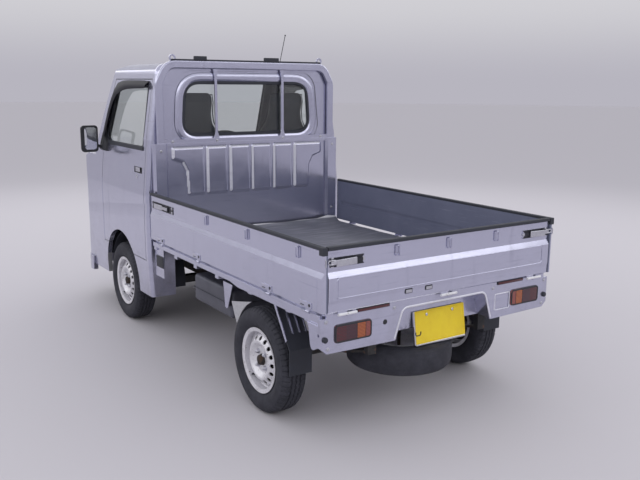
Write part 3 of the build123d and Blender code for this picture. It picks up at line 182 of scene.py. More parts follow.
# Black moulded polypropylene: fine leather-like grain, greyed by handling
black_moulding, tree, shader, spot = new_material("black_polypropylene_grained")
grain = add(tree, "TexVoronoi", {"Vector": spot, "Scale": 620})
greyed, tone = clouded(tree, spot, (14, 5), "#1d1e22", "#33353b")
sheen = add(tree, "MapRange", {"Value": greyed, "To Min": 0.42, "To Max": 0.62})
surface(tree, shader, tone, sheen, (grain, 0.35, 0.0005), {"IOR": 1.49})

# Cab trim: mid-grey moulded board with a soft pebble grain, a little soiled
trim_board, tree, shader, spot = new_material("grey_trim_board_moulded")
pebble = add(tree, "TexVoronoi", {"Vector": spot, "Scale": 300})
soiled = clouded(tree, spot, (6, 6), "#6d6d70", "#86868a")[1]
surface(tree, shader, soiled, 0.7, (pebble, 0.4, 0.0008), {"IOR": 1.46})

hinge_line_z = 0.655
tailgate_hinge_y = 1.691
barrel_reach = 0.0085
deck_top_z = 0.655
handle_y = (-0.527, -0.387)
handle_z = (1.0655, 1.1045)
latch_plate_z = (0.862, 0.915)
cab_middle = Vector((0, -0.9, 1.1))


def near_line(a, b):
    """True within a barrel's reach of a hinge line seen end on."""
    return math.hypot(a, b) < barrel_reach


def cab_lining(middle, normal):
    """Enamel outside, trim board on the faces that look into the cab."""
    return int(normal.dot(middle - cab_middle) < 0)


def door_finish(middle, normal):
    """Enamel, trim board inside, black recess and plated flap of the handle."""
    across = abs(middle.x)
    at_handle = handle_y[0] < middle.y < handle_y[1] and handle_z[0] < middle.z < handle_z[1]
    if at_handle and 0.705 < across < 0.7232:
        return 3 if across > 0.7187 else 2
    return cab_lining(middle, normal)


def side_gate_finish(middle, normal):
    """Enamel outside, wear coat inside, blackened latch plate that also carries painted shade under the
    lever.
    """
    across = abs(middle.x)
    if across > 0.7193 and middle.y < 0.084 and latch_plate_z[0] < middle.z < latch_plate_z[1]:
        return 2
    return int(across < 0.7095)


def tailgate_finish(middle, normal):
    """Enamel outside, wear coat inside, white barrels that are partly a painted highlight, blackened latch
    plates that also carry painted shade under the levers.
    """
    if near_line(middle.y - tailgate_hinge_y, middle.z - hinge_line_z):
        return 2
    if middle.y > 1.6793 and abs(middle.x) > 0.545 and latch_plate_z[0] < middle.z < latch_plate_z[1]:
        return 3
    return int(middle.y < 1.6695)


def deck_finish(middle, normal):
    """Enamel on sills and bearers, wear coat on the sheet."""
    return int(middle.z > deck_top_z - 0.0005 and normal.z > 0.5)


def rear_panel_finish(middle, normal):
    """Enamel with white barrels, partly a painted highlight, on the tailgate's hinge line."""
    return int(near_line(middle.y - tailgate_hinge_y, middle.z - hinge_line_z))


def roof_finish(middle, normal):
    """Enamel darkened as painted shade on top, sound enamel down the sides, trim board inside."""
    return 1 if cab_lining(middle, normal) else 2 * int(normal.z < 0.45)


refinish(["cab_back_panel", "cab_side_frames", "cab_front_panel"], [enamel, trim_board], cab_lining)
refinish(["cab_roof"], [roof_enamel_painted_shade, trim_board, enamel], roof_finish)
refinish(["door_left", "door_right"], [enamel, trim_board, black_moulding, zinc], door_finish)
refinish(["gate_left", "gate_right"], [enamel, bed_coat, blackened_steel_and_painted_shade], side_gate_finish)
refinish(["tailgate"], [enamel, bed_coat, barrel_enamel_painted_highlight, blackened_steel_and_painted_shade], tailgate_finish)
refinish(["load_deck"], [enamel, bed_coat], deck_finish)
refinish(["rear_panel"], [enamel, barrel_enamel_painted_highlight], rear_panel_finish)
refinish(["headboard"], [enamel])

# Gate latches: a pressed steel lever on a pivot in the recessed band, its hooked end drawn over a keeper pin.
# Zinc-plated; one at each end of the tailgate and one at the front of each side gate.


def circle(radius, steps=12):
    """Points round a circle, as a section to carry along a path."""
    turns = [i * math.tau / steps for i in range(steps)]
    return [(radius * math.cos(turn), radius * math.sin(turn)) for turn in turns]


def skin(shape, rings, capped=True, around=True):
    """Joins a row of point rings, or of open lines, with faces and closes both ends."""
    for a, b in zip(rings, rings[1:]):
        for i in range(len(a) if around else len(a) - 1):
            j = (i + 1) % len(a)
            shape.faces.new((a[i], a[j], b[j], b[i]))
    if capped:
        shape.faces.new(rings[0][::-1])
        shape.faces.new(rings[-1])


def sweep(shape, path, section, closed=False, up=(0, 0, 1)):
    """Carries a closed section of (across, over) points along a path."""
    rings = []
    last = len(path) - 1
    for i, point in enumerate(path):
        before = path[i - 1] if closed or i else point
        after = path[(i + 1) % len(path)] if closed or i < last else point
        along = (after - before).normalized()
        across = along.cross(Vector(up)).normalized()
        over = across.cross(along)
        rings.append([shape.verts.new(point + across * u + over * v) for u, v in section])
    skin(shape, rings + rings[:1] if closed else rings, capped=not closed)


def lathe(shape, profile, origin, axis, steps=24):
    """Turns a profile of (along the axis, radius) points about an axis and closes its ends."""
    turn = Vector(axis).to_track_quat("Z", "Y").to_matrix()
    start = Vector(origin)
    rings = [[shape.verts.new(start + turn @ Vector((u, v, along))) for u, v in circle(radius, steps)]
             for along, radius in profile]
    skin(shape, rings)


def slab(shape, low, high, edge=0.001, steps=2, turn=None):
    """Bar between two opposite corners with rounded edges."""
    made = bmesh.ops.create_cube(shape, size=1)["verts"]
    size = [abs(b - a) for a, b in zip(low, high)]
    middle = Vector([(a + b) / 2 for a, b in zip(low, high)])
    place = Matrix.Translation(middle) @ (turn or Matrix()) @ Matrix.Diagonal((*size, 1))
    bmesh.ops.transform(shape, matrix=place, verts=made)
    edges = list(dict.fromkeys(e for v in made for e in v.link_edges))
    bmesh.ops.bevel(shape, geom=edges, offset=edge, segments=steps,
                    affect="EDGES", profile=0.5, clamp_overlap=True)


def outline_of(low_half, low, high_half, high):
    """Corners of an outline that is the same left and right, as (across, up)."""
    return [(-low_half, low), (low_half, low), (high_half, high), (-high_half, high)]


def at_y(y, places):
    """Points on a plane across the truck."""
    return [Vector((x, y, z)) for x, z in places]


def bend(before, corner, after, reach, steps=7):
    """Points of the soft corner of a line that comes from one point and leaves to another."""
    start = corner + (before - corner).normalized() * reach
    end = corner + (after - corner).normalized() * reach
    ways = [k / steps for k in range(steps + 1)]
    return [start * (1 - t) ** 2 + corner * 2 * t * (1 - t) + end * t * t for t in ways]


def rounded(points, radius, steps=6):
    """Closed outline with its corners rounded."""
    outline = []
    for i, corner in enumerate(points):
        outline += bend(points[i - 1], corner, points[(i + 1) % len(points)], radius, steps)
    return outline


def finish(shape, name, material, body, crease=35):
    """Turns a finished shape into a shaded piece that rides on a CAD body."""
    bmesh.ops.recalc_face_normals(shape, faces=shape.faces)
    mesh = bpy.data.meshes.new(name)
    shape.to_mesh(mesh)
    shape.free()
    mesh.shade_smooth()
    mesh.set_sharp_from_angle(angle=math.radians(crease))
    mesh.materials.append(material)
    piece = bpy.data.objects.new(name, mesh)
    bpy.context.scene.collection.objects.link(piece)
    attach(piece, body)
    return piece


sides = (("left", 1), ("right", -1))
latch_z = 0.890
shape = bmesh.new()
for side in (1, -1):
    slab(shape, (side * 0.552, 1.6895, latch_z - 0.018), (side * 0.662, 1.6960, latch_z + 0.014),
         0.0028, 3, Matrix.Rotation(side * math.radians(1.5), 4, "Y"))
    slab(shape, (side * 0.640, 1.6885, latch_z - 0.009), (side * 0.690, 1.6945, latch_z + 0.009), 0.002)
    hook = [Vector((side * x, y, z)) for x, y, z in
            [(0.660, 1.690, 0.899), (0.680, 1.6925, 0.903), (0.7005, 1.6945, 0.902), (0.7060, 1.6945, 0.894),
             (0.7005, 1.6945, 0.886), (0.680, 1.6925, 0.884), (0.660, 1.690, 0.886)]]
    sweep(shape, hook, circle(0.0028, 8), up=(0, 1, 0))
finish(shape, "tailgate_latch_levers", zinc, "tailgate")
for word, side in sides:
    shape = bmesh.new()
    slab(shape, (side * 0.7272, -0.190, latch_z - 0.016), (side * 0.7330, -0.062, latch_z + 0.014),
         0.0026, 3)
    slab(shape, (side * 0.7255, -0.066, latch_z - 0.009), (side * 0.7320, 0.012, latch_z + 0.009), 0.002)
    keeper = [Vector((side * 0.717, y, z)) for y, z in
              [(1.6893, 0.874), (1.6945, 0.877), (1.6945, 0.905), (1.6893, 0.908)]]
    sweep(shape, keeper, circle(0.0028, 8), up=(1, 0, 0))
    finish(shape, "side_gate_latch_" + word, zinc, "gate_" + word)

# Gate hinge leaves: 3 mm pressed plates welded to the foot of each side gate, painted with it, over a
# black pin end
leaf_ys = (-0.0954, 0.4245, 1.213, 1.5576)
for word, side in sides:
    shape = bmesh.new()
    pins = bmesh.new()
    for y in leaf_ys:
        slab(shape, (side * 0.7295, y - 0.048, 0.671), (side * 0.7330, y + 0.048, 0.699), 0.0012)
        lathe(pins, [(0, 0.0075), (0.002, 0.0075), (0.0032, 0.006)],
              (side * 0.7325, y + 0.032, 0.686), (side, 0, 0), 12)
        slab(pins, (side * 0.7322, y - 0.040, 0.677), (side * 0.7338, y - 0.012, 0.681), 0.0005)
    finish(shape, "hinge_leaves_" + word, enamel, "gate_" + word)
    finish(pins, "hinge_pins_" + word, blackened_steel_and_painted_shade, "gate_" + word)

# Tailgate swage: the raised lower panel is closed off by a rolled bead along its foot and up its ends
shape = bmesh.new()
swage = rounded(at_y(1.6895, [(0.655, 0.8195), (0.655, 0.727), (-0.655, 0.727), (-0.655, 0.8195)]), 0.022)
sweep(shape, swage, [(-0.0045, -0.0015), (-0.0025, 0.0014), (0, 0.0024), (0.0025, 0.0014), (0.0045, -0.0015)],
      True, (0, 1, 0))
finish(shape, "tailgate_swage", enamel, "tailgate", 60)
# Drain holes under the swage, each with a plated flap in a dark frame whose darkness is painted shade round
# the flap
shape = bmesh.new()
flaps = bmesh.new()
for x in (0.250, 0.127):
    slab(shape, (x - 0.021, 1.6890, 0.6950), (x + 0.021, 1.6906, 0.7170), 0.0006)
    slab(flaps, (x - 0.018, 1.6895, 0.6975), (x + 0.018, 1.6914, 0.7120), 0.0008)
finish(shape, "tailgate_drain_frames", blackened_steel_and_painted_shade, "tailgate")
finish(flaps, "tailgate_drain_flaps", zinc, "tailgate")

# Headboard pressing: one 1 mm sheet drawn into six ribs whose flanks slope over 24 mm, the outermost
# flared at the head. It lies over the panel between the columns; flanks that face left or up carry a painted
# highlight.
rib_outlines = [[(s * x, z) for x, z in outline] for s in (1, -1) for outline in
                ([(26, 940), (26, 1218), (140, 1218), (140, 940)],
                 [(194, 940), (194, 1218), (308, 1218), (308, 940)],
                 [(360, 940), (360, 1218), (548, 1218), (548, 1172), (486, 1150), (452, 1085), (444, 940)])]
flank_width = 24


def rib_height(x, z):
    """Rise of the pressed sheet at a place in millimetres across and up."""
    best = 0.0
    for outline in rib_outlines:
        if not min(p[0] for p in outline) - flank_width < x < max(p[0] for p in outline) + flank_width:
            continue
        inside, nearest = False, 1e9
        for (ax, az), (bx, bz) in zip(outline, outline[1:] + outline[:1]):
            edge_x, edge_z = bx - ax, bz - az
            share = ((x - ax) * edge_x + (z - az) * edge_z) / (edge_x ** 2 + edge_z ** 2)
            share = max(0.0, min(1.0, share))
            nearest = min(nearest, math.hypot(x - ax - share * edge_x, z - az - share * edge_z))
            if (az > z) != (bz > z) and x < edge_x * (z - az) / edge_z + ax:
                inside = not inside
        run = 0.0 if inside else nearest
        fall = max(0.0, 1 - run / flank_width)
        best = max(best, fall * fall * (3 - 2 * fall))
    return 0.0115 * best


across_steps, up_steps = 300, 118
shape = bmesh.new()
grid = [[shape.verts.new((x / 1000, -0.2744 + (rib_height(x, z) if z > 900 else 0), z / 1000))
         for x in (-599 + 1198 * i / across_steps for i in range(across_steps + 1))]
        for z in [657, 780, 903] + [903 + 336 * j / up_steps for j in range(1, up_steps + 1)]]
for a, b in zip(grid, grid[1:]):
    for i in range(across_steps):
        shape.faces.new((a[i], b[i], b[i + 1], a[i + 1]))
pressing = finish(shape, "headboard_pressing", enamel, "chassis", 80)
pressing.data.materials.append(enamel_painted_highlight)
# Faces turned left or up take the pale enamel: a painted highlight on the rib flanks
for face in pressing.data.polygons:
    outward = math.copysign(1, face.normal.y)
    face.material_index = int(outward * face.normal.x > 0.42 or outward * face.normal.z > 0.38)

# Bolt heads and washers that hold latches, hinges, headboard columns and the guard bar. Plated M8 screws.
bolt_places = [
    ("tailgate", (0, 1, 0),
     [(s * x, 1.6818, z) for s in (1, -1) for x, z in ((0.676, 0.877), (0.676, 0.903), (0.512, 0.890))]),
    ("gate_left", (1, 0, 0), [(0.7218, y, z) for y, z in ((0.070, 0.877), (0.070, 0.903), (-0.220, 0.890))]),
    ("gate_right", (-1, 0, 0),
     [(-0.7218, y, z) for y, z in ((0.070, 0.877), (0.070, 0.903), (-0.220, 0.890))]),
    ("chassis", (0, 1, 0), [(s * x, y, z) for s in (1, -1) for x, y, z in
                            ((0.648, -0.2480, 1.215), (0.648, -0.2480, 0.760), (0.250, -0.2670, 1.270),
                             (0.560, -0.2670, 1.270))]),
    ("chassis", (0, 1, 0),
     [(s * x, 1.6722, z) for s in (1, -1) for x, z in ((0.700, 0.625), (0.320, 0.632), (0.690, 0.500))]),
]
for number, (body, way, places) in enumerate(bolt_places):
    shape = bmesh.new()
    for place in places:
        lathe(shape, [(-0.001, 0.0095), (0.0012, 0.0095), (0.0014, 0.0085)], place, way, 16)
        lathe(shape, [(0.001, 0.0065), (0.0040, 0.0065), (0.0046, 0.0055)], place, way, 6)
    finish(shape, f"bolts_{number}_{body}", zinc, body, 20)

# Gate edging: extruded black rubber caps on the gates, blocks on the guard bar, a strip along it, and bump
# stops. Weathered matt, greyed in cloudy patches and cut by small cracks.
rubber, tree, shader, spot = new_material("black_rubber_extruded")
bloom, sooty = clouded(tree, spot, (22, 6, 0.7), "#202229", "#363944")
crack = add(tree, "TexVoronoi", {"Vector": spot, "Scale": 130}, feature="DISTANCE_TO_EDGE")
crack_line = add(tree, "MapRange", {"Value": crack, "From Max": 0.06})
matt = add(tree, "MapRange", {"Value": bloom, "To Min": 0.55, "To Max": 0.85})
surface(tree, shader, sooty, matt, (crack_line, 0.35, 0.0006), {"IOR": 1.52})
refinish(["gate_cap_left", "gate_cap_right", "tailgate_cap"], [rubber])

strip_section = [(-0.009, -0.001), (-0.009, 0.005), (-0.006, 0.008),
                 (0.006, 0.008), (0.009, 0.005), (0.009, -0.001)]
shape = bmesh.new()
sweep(shape, [Vector((x, -0.272, 1.775)) for x in (-0.555, -0.2, 0.2, 0.555)], strip_section)
for start, end in ((0.313, 0.398), (-0.218, -0.110)):
    slab(shape, (start, -0.2835, 1.775), (end, -0.2605, 1.803), 0.004, 3)
for side in (1, -1):
    lathe(shape, [(-0.002, 0.013), (0.007, 0.013), (0.010, 0.011), (0.0115, 0.007)],
          (side * 0.705, 1.6720, 0.545), (0, 1, 0))
finish(shape, "rubber_strip_and_stops", rubber, "chassis")

# Bed mat: a 4 mm sheet of cut rubber on the deck, rippled by heat and loads, its front edge curled up to the
# headboard and coloured paler towards the top of the curl.
mat_half = 0.675
mat_thickness = 0.0042
mat_front = -0.232
mat_rear = 1.637
mat_black, tree, shader, spot = new_material("bed_mat_rubber_cut")
mat_tone = clouded(tree, spot, (3.2, 9, 0.7), "#484a54", "#7a7c88")[1]
scuff_place = add(tree, "Mapping", {"Vector": spot, "Scale": (3, 26, 3), "Rotation": (0, 0, 0.5)})
mat_worn = clouded(tree, scuff_place, (1.5, 6), mat_tone, "#85858f", (0.5, 0.72))[1]
mat_height = add(tree, "SeparateXYZ", {0: spot})
mat_edge = add(tree, "MapRange", {"Value": mat_height.outputs["Z"], "From Min": 0.686, "From Max": 0.693})
mat_colour = add(tree, "Mix", {0: mat_edge, 6: mat_worn, 7: "#d3d3d8"}, data_type="RGBA")
weave = add(tree, "TexNoise", {"Vector": spot, "Scale": 260, "Detail": 3})
surface(tree, shader, mat_colour, 0.62, (weave, 0.4, 0.0009), {"IOR": 1.52})


def mat_lift(x, y):
    """Height of the mat's upper face over the deck sheet at a place."""
    ripple = noise.noise(Vector((x * 1.6, y * 5.5, 3.1))) * 0.5 + 0.5
    fine = noise.noise(Vector((x * 5.0, y * 13.0, 8.4))) * 0.5 + 0.5
    lift = 0.0052 + 0.0075 * ripple * ripple + 0.0025 * fine
    curl = max(0.0, 1 - (y - mat_front) / 0.055)
    crest = 0.75 + 0.25 * noise.noise(Vector((x * 7.0, 1.3, 0.2)))
    crest += 0.35 * math.exp(-((x + 0.60) / 0.05) ** 2)
    reach = min(1.0, max(0.0, (0.60 - x) / 0.12))
    return lift + 0.036 * curl ** 1.6 * crest * reach


def rim(rows):
    """Points round the edge of a sheet given as rows of points."""
    return rows[0] + [row[-1] for row in rows[1:]] + rows[-1][-2::-1] + [row[0] for row in rows[-2:0:-1]]


columns, rows = 90, 140
shape = bmesh.new()
sheets = []
for drop in (0.0, mat_thickness):
    points = []
    for j in range(rows + 1):
        share = (j / rows) ** 1.25
        y = mat_front + share * (mat_rear - mat_front)
        xs = [-mat_half + 2 * mat_half * i / columns for i in range(columns + 1)]
        points.append([shape.verts.new((x, y, deck_top_z + mat_lift(x, y) - drop)) for x in xs])
    skin(shape, points, capped=False, around=False)
    sheets.append(points)
skin(shape, [rim(sheet) for sheet in sheets], capped=False)
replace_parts(finish(shape, "bed_mat_rippled", mat_black, "chassis", 60), "bed_mat")

# Windows: 5 mm toughened float glass, faintly green, held by black rubber seals. Smoked acrylic rain visors
# are stuck over the doors.
glass, tree, shader, spot = new_material("toughened_glass_float")
film = add(tree, "TexNoise", {"Vector": spot, "Scale": 9, "Detail": 7})
filmed = add(tree, "MapRange", {"Value": film, "From Min": 0.45, "From Max": 0.9, "To Max": 0.02})
ripple = add(tree, "TexNoise", {"Vector": spot, "Scale": 2.2, "Detail": 1})
surface(tree, shader, "#f6faf8", filmed, (ripple, 0.08, 0.002), {"Transmission Weight": 1.0, "IOR": 1.52})
refinish(["cab_glass", "door_glass_left", "door_glass_right"], [glass])


def side_x(z):
    """Half width of the cab side at a height above the door sill."""
    profile = [(0.560, 0.7375), (0.930, 0.7375), (1.284, 0.706), (1.690, 0.646)]
    for (low_z, low_x), (high_z, high_x) in zip(profile, profile[1:]):
        if z <= high_z:
            return low_x + (high_x - low_x) * (z - low_z) / (high_z - low_z)
    return profile[-1][1]


screen_half = 0.640
screen_bow = 0.100
screen_foot_y = -1.418
screen_foot_z = 1.060
screen_slope = 147 / 258


def screen_y(x, z):
    """Outer face of the windscreen at a place across and up: a bow across it, leaning back with height."""
    radius = (screen_half ** 2 + screen_bow ** 2) / (2 * screen_bow)
    nose_y = screen_foot_y - screen_bow + radius - math.sqrt(radius ** 2 - x * x)
    return nose_y + (z - screen_foot_z) * screen_slope


seal_section = [(-0.007, -0.004), (0.007, -0.004), (0.008, 0.000),
                (0.005, 0.0035), (-0.005, 0.0035), (-0.008, 0.000)]
shape = bmesh.new()
rear_window = rounded(at_y(-0.2915, outline_of(0.480, 1.310, 0.455, 1.638)), 0.100, 8)
sweep(shape, rear_window, [(u * 1.25, v) for u, v in seal_section], True, (0, 1, 0))
screen = rounded(at_y(0, outline_of(0.638, 1.113, 0.579, 1.657)), 0.045)
dense = []
for a, b in zip(screen, screen[1:] + screen[:1]):
    count = max(1, int((b - a).length / 0.05))
    dense += [a + (b - a) * k / count for k in range(count)]
screen_path = [Vector((p.x, screen_y(p.x, p.z) + 0.003, p.z)) for p in dense]
sweep(shape, screen_path, seal_section, True, (0, -1, 0.57))
finish(shape, "window_seals_cab", rubber, "chassis")

# Rear window pressing: the cab back is drawn outwards in a flat-topped ring round the glass
shape = bmesh.new()
ring = rounded(at_y(-0.2902, outline_of(0.516, 1.272, 0.489, 1.674)), 0.150, 10)
ring_section = [(-0.027, -0.0005), (-0.025, 0.0003), (-0.014, 0.0040), (-0.011, 0.0046),
                (0.011, 0.0046), (0.014, 0.0040), (0.025, 0.0003), (0.027, -0.0005)]
sweep(shape, ring, ring_section, True, (0, 1, 0))
finish(shape, "rear_window_pressing", enamel, "chassis", 80)

door_window = [(-1.082, 1.254), (-0.962, 1.612), (-0.391, 1.612), (-0.391, 1.232), (-1.030, 1.232)]
# Upper and lower edge of the visor as pairs of (along, up)
visor_edges = [((-1.132, 1.275), (-1.030, 1.268)), ((-1.116, 1.345), (-0.998, 1.349)),
               ((-1.084, 1.440), (-0.958, 1.446)), ((-1.045, 1.530), (-0.915, 1.510)),
               ((-1.010, 1.590), (-0.862, 1.555)), ((-0.955, 1.632), (-0.790, 1.583)),
               ((-0.860, 1.648), (-0.700, 1.594)), ((-0.740, 1.651), (-0.610, 1.597)),
               ((-0.600, 1.651), (-0.520, 1.599)), ((-0.480, 1.650), (-0.440, 1.600)),
               ((-0.385, 1.646), (-0.395, 1.602))]
# Smoked acrylic: nearly black and opaque, hazed matt by sun and washing
smoked, tree, shader, spot = new_material("smoked_acrylic_thermoformed")
haze, smoke_tone = clouded(tree, spot, (30, 5), "#232329", "#33333a")
hazed = add(tree, "MapRange", {"Value": haze, "To Min": 0.34, "To Max": 0.5})
plug(tree, shader, {"Base Color": smoke_tone, "Roughness": hazed, "IOR": 1.49, "Specular IOR Level": 0.04})
for word, side in sides:
    shape = bmesh.new()
    outline = rounded([Vector((side * (side_x(z) - 0.001), y, z)) for y, z in door_window], 0.022)
    sweep(shape, outline, seal_section, True, (side, 0, 0))
    belt = [Vector((side * (side_x(1.226) - 0.001), y, 1.226)) for y in (-1.048, -0.72, -0.383)]
    belt_section = [(-0.0005, -0.016), (0.007, -0.013), (0.0075, 0.008), (0.003, 0.014), (-0.0005, 0.014)]
    sweep(shape, belt, belt_section, up=(0, 0, side))
    finish(shape, "door_window_seal_" + word, rubber, "door_" + word)
    shape = bmesh.new()
    sheets = []
    for depth in (0.0, 0.0028):
        lines = []
        for (upper_y, upper_z), (lower_y, lower_z) in visor_edges:
            line = []
            for k in range(6):
                t = k / 5
                y, z = upper_y + (lower_y - upper_y) * t, upper_z + (lower_z - upper_z) * t
                bulge = 0.038 if upper_z < 1.6 else 0.027
                stand = 0.004 + bulge * math.sin(min(1.0, t * 1.2) * math.pi / 2) - 0.003 * t * t
                line.append(shape.verts.new((side * (side_x(z) + stand - depth), y, z)))
            lines.append(line)
        skin(shape, lines, capped=False, around=False)
        sheets.append(lines)
    skin(shape, [rim(lines) for lines in sheets], capped=False)
    finish(shape, "door_visor_" + word, smoked, "door_" + word, 50)

# Wipers: two painted steel arms on cowl spindles with rubber blades that park low across the windscreen
shape = bmesh.new()
for pivot_x in (0.46, -0.08):
    foot = Vector((pivot_x, screen_y(pivot_x, 1.108) - 0.012, 1.108))
    tip_x = pivot_x - 0.37
    tip = Vector((tip_x, screen_y(tip_x, 1.140) - 0.024, 1.140))
    sweep(shape, [foot, foot.lerp(tip, 0.35) + Vector((0, -0.006, 0.004)), tip], circle(0.004, 8))
    lathe(shape, [(-0.012, 0.013), (0.008, 0.013), (0.012, 0.008)], foot, (0, -0.87, 0.5), 16)
    heel, toe = Vector((tip_x - 0.21, 0, 1.128)), Vector((tip_x + 0.21, 0, 1.150))
    blade = [Vector((p.x, screen_y(p.x, p.z) - 0.010, p.z))
             for p in (heel.lerp(toe, k / 8) for k in range(9))]
    sweep(shape, blade, [(-0.002, -0.006), (0.002, -0.006), (0.005, 0.004), (-0.005, 0.004)],
          up=(0, -0.87, 0.5))
finish(shape, "wipers", black_moulding, "chassis")

# Door mirrors: black moulded heads on steel arms, with convex silvered glass that looks back along the
# truck; a black moulded wedge in the front corner of the window carries each arm
refinish(["mirror_left", "mirror_right"], [black_moulding])
silvered, tree, shader, spot = new_material("mirror_glass_silvered")
smear = add(tree, "TexNoise", {"Vector": spot, "Scale": 40, "Detail": 6})
smeared = add(tree, "MapRange", {"Value": smear, "From Min": 0.4, "From Max": 0.9, "To Max": 0.1})
plug(tree, shader, {"Base Color": "#e6e9ee", "Metallic": 1.0, "Roughness": smeared})
for word, side in sides:
    shape = bmesh.new()
    feet = [(-1.138, 1.160), (-1.050, 1.160), (-1.030, 1.222),
            (-1.076, 1.262), (-1.100, 1.330), (-1.118, 1.318), (-1.136, 1.240)]
    peak_y, peak_z = -1.102, 1.195
    rings = [[shape.verts.new((side * (side_x(z) + out), peak_y + (y - peak_y) * share,
                               peak_z + (z - peak_z) * share))
              for y, z in feet]
             for out, share in ((-0.003, 1), (0.010, 0.96), (0.026, 0.78), (0.036, 0.52), (0.038, 0.2))]
    skin(shape, rings)
    finish(shape, "mirror_wedge_" + word, black_moulding, "door_" + word)
    shape = bmesh.new()
    centre = Vector((side * 0.826, -1.0828, 1.250))
    edge = rounded([centre + corner for corner in at_y(0, outline_of(0.042, -0.077, 0.042, 0.077))], 0.024)
    rings = [[shape.verts.new(centre + (p - centre) * share + Vector((0, bulge, 0))) for p in edge]
             for share, bulge in ((1, -0.001), (1, 0.0004), (0.8, 0.0012), (0.5, 0.0019), (0.2, 0.0022))]
    skin(shape, rings)
    finish(shape, "mirror_glass_" + word, silvered, "door_" + word)

# Door key cylinders: turned brass, plated, pressed into the door under the handle
for word, side in sides:
    shape = bmesh.new()
    seat = Vector((side * (side_x(1.043) - 0.001), -0.470, 1.043))
    face_profile = [(0, 0.0125), (0.003, 0.0125), (0.0038, 0.011),
                    (0.0038, 0.009), (0.0028, 0.0085), (0.0028, 0.002)]
    lathe(shape, face_profile, seat, (side, 0, 0), 20)
    finish(shape, "key_cylinder_" + word, zinc, "door_" + word)

# Aerial: whip of black-coated steel with its clips on the pillar
refinish(["aerial"], [black_moulding])

# Seats: two high-backed bucket seats of foam over a pressed frame, in dark woven cloth.
# Each is a cushion and a backrest that narrows into its headrest; piping closes the seams.
seat_cloth, tree, shader, spot = new_material("seat_cloth_woven")
warp = add(tree, "TexWave", {"Vector": spot, "Scale": 210}, bands_direction="X")
weft = add(tree, "TexWave", {"Vector": spot, "Scale": 210}, bands_direction="Z")
crossing = add(tree, "Math", {0: warp.outputs["Fac"], 1: weft.outputs["Fac"]}, operation="MULTIPLY")
cloth_tone = clouded(tree, spot, (18, 6), "#26272c", "#3d3f46")[1]
thread = add(tree, "Mix", {0: crossing, 6: cloth_tone, 7: "#4a4c54"}, data_type="RGBA")
surface(tree, shader, thread, 0.9, (crossing, 0.15, 0.0005), {"Sheen Weight": 0.25, "Sheen Roughness": 0.5})


def padded_form(name, rings, cap, cloth_steps=20):
    """Closed foam form lofted through rings, remeshed, swelled by cloth pressure up to a cap and smoothed."""
    shape = bmesh.new()
    skin(shape, [[shape.verts.new(p) for p in ring] for ring in rings])
    piece = finish(shape, name, seat_cloth, "chassis", 80)
    bpy.context.view_layer.objects.active = piece
    remesh = piece.modifiers.new("grid", "REMESH")
    remesh.mode = "VOXEL"
    remesh.voxel_size = 0.0075
    bpy.ops.object.modifier_apply(modifier=remesh.name)
    rest = [v.co.copy() for v in piece.data.vertices]
    cloth = piece.modifiers.new("swell", "CLOTH")
    cloth.settings.use_pressure = True
    cloth.settings.uniform_pressure_force = 4
    cloth.settings.effector_weights.gravity = 0
    for step in range(1, cloth_steps + 1):
        bpy.context.scene.frame_set(step)
    bpy.ops.object.modifier_apply(modifier=cloth.name)
    bpy.context.scene.frame_set(1)
    for vertex, start in zip(piece.data.vertices, rest):
        move = vertex.co - start
        if move.length > cap:
            vertex.co = start + move.normalized() * cap
    smooth = piece.modifiers.new("even", "SMOOTH")
    smooth.iterations = 4
    bpy.ops.object.modifier_apply(modifier=smooth.name)
    piece.data.shade_smooth()
    return piece


def seat_ring(width, front, back, z, corner):
    """Rounded rectangle across a seat at a height, front and back given along the truck."""
    half = width / 2
    return rounded([Vector((x, y, z)) for x, y in outline_of(half, front, half, back)], corner, 4)


# Cushion rings as (width, front, back, height, corner), then the backrest's up to the headrest
cushion_rings = [(0.430, -0.985, -0.590, 0.652, 0.05), (0.448, -1.000, -0.578, 0.680, 0.06),
                 (0.450, -1.002, -0.575, 0.715, 0.06), (0.444, -0.996, -0.580, 0.738, 0.06),
                 (0.425, -0.975, -0.600, 0.750, 0.06)]
back_rings = [(0.400, -0.540, -0.440, 0.690, 0.035), (0.430, -0.568, -0.432, 0.760, 0.045),
              (0.434, -0.560, -0.424, 0.900, 0.050), (0.430, -0.535, -0.410, 1.060, 0.050),
              (0.420, -0.510, -0.396, 1.200, 0.050), (0.385, -0.488, -0.385, 1.300, 0.045),
              (0.290, -0.466, -0.378, 1.380, 0.040), (0.262, -0.450, -0.368, 1.440, 0.038),
              (0.262, -0.436, -0.358, 1.510, 0.036), (0.245, -0.425, -0.356, 1.560, 0.033),
              (0.200, -0.412, -0.366, 1.583, 0.022)]
for word, side in sides:
    middle_x = side * 0.350
    shift = Vector((middle_x, 0, 0))
    cushion, backrest = [padded_form(name + word,
                                     [[p + shift for p in seat_ring(*ring)] for ring in rings], 0.012)
                         for name, rings in (("seat_cushion_", cushion_rings), ("seat_back_", back_rings))]
    shape = bmesh.new()
    cushion_seam = [p + shift + Vector((0, 0, 0.002)) for p in seat_ring(0.464, -1.010, -0.568, 0.715, 0.06)]
    sweep(shape, cushion_seam, circle(0.0035, 8), True)
    seam = [Vector((middle_x + sign * (width / 2 + 0.007), (front + back) / 2, z))
            for sign, order in ((1, 1), (-1, -1))
            for width, front, back, z, corner in back_rings[1:-1][::order]]
    sweep(shape, seam, circle(0.0035, 8), True, (0, 1, 0))
    slab(shape, (middle_x - 0.20, -0.98, 0.6405), (middle_x + 0.20, -0.60, 0.658), 0.004)
    finish(shape, "seat_piping_" + word, black_moulding, "chassis")
    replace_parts(cushion, "seats")

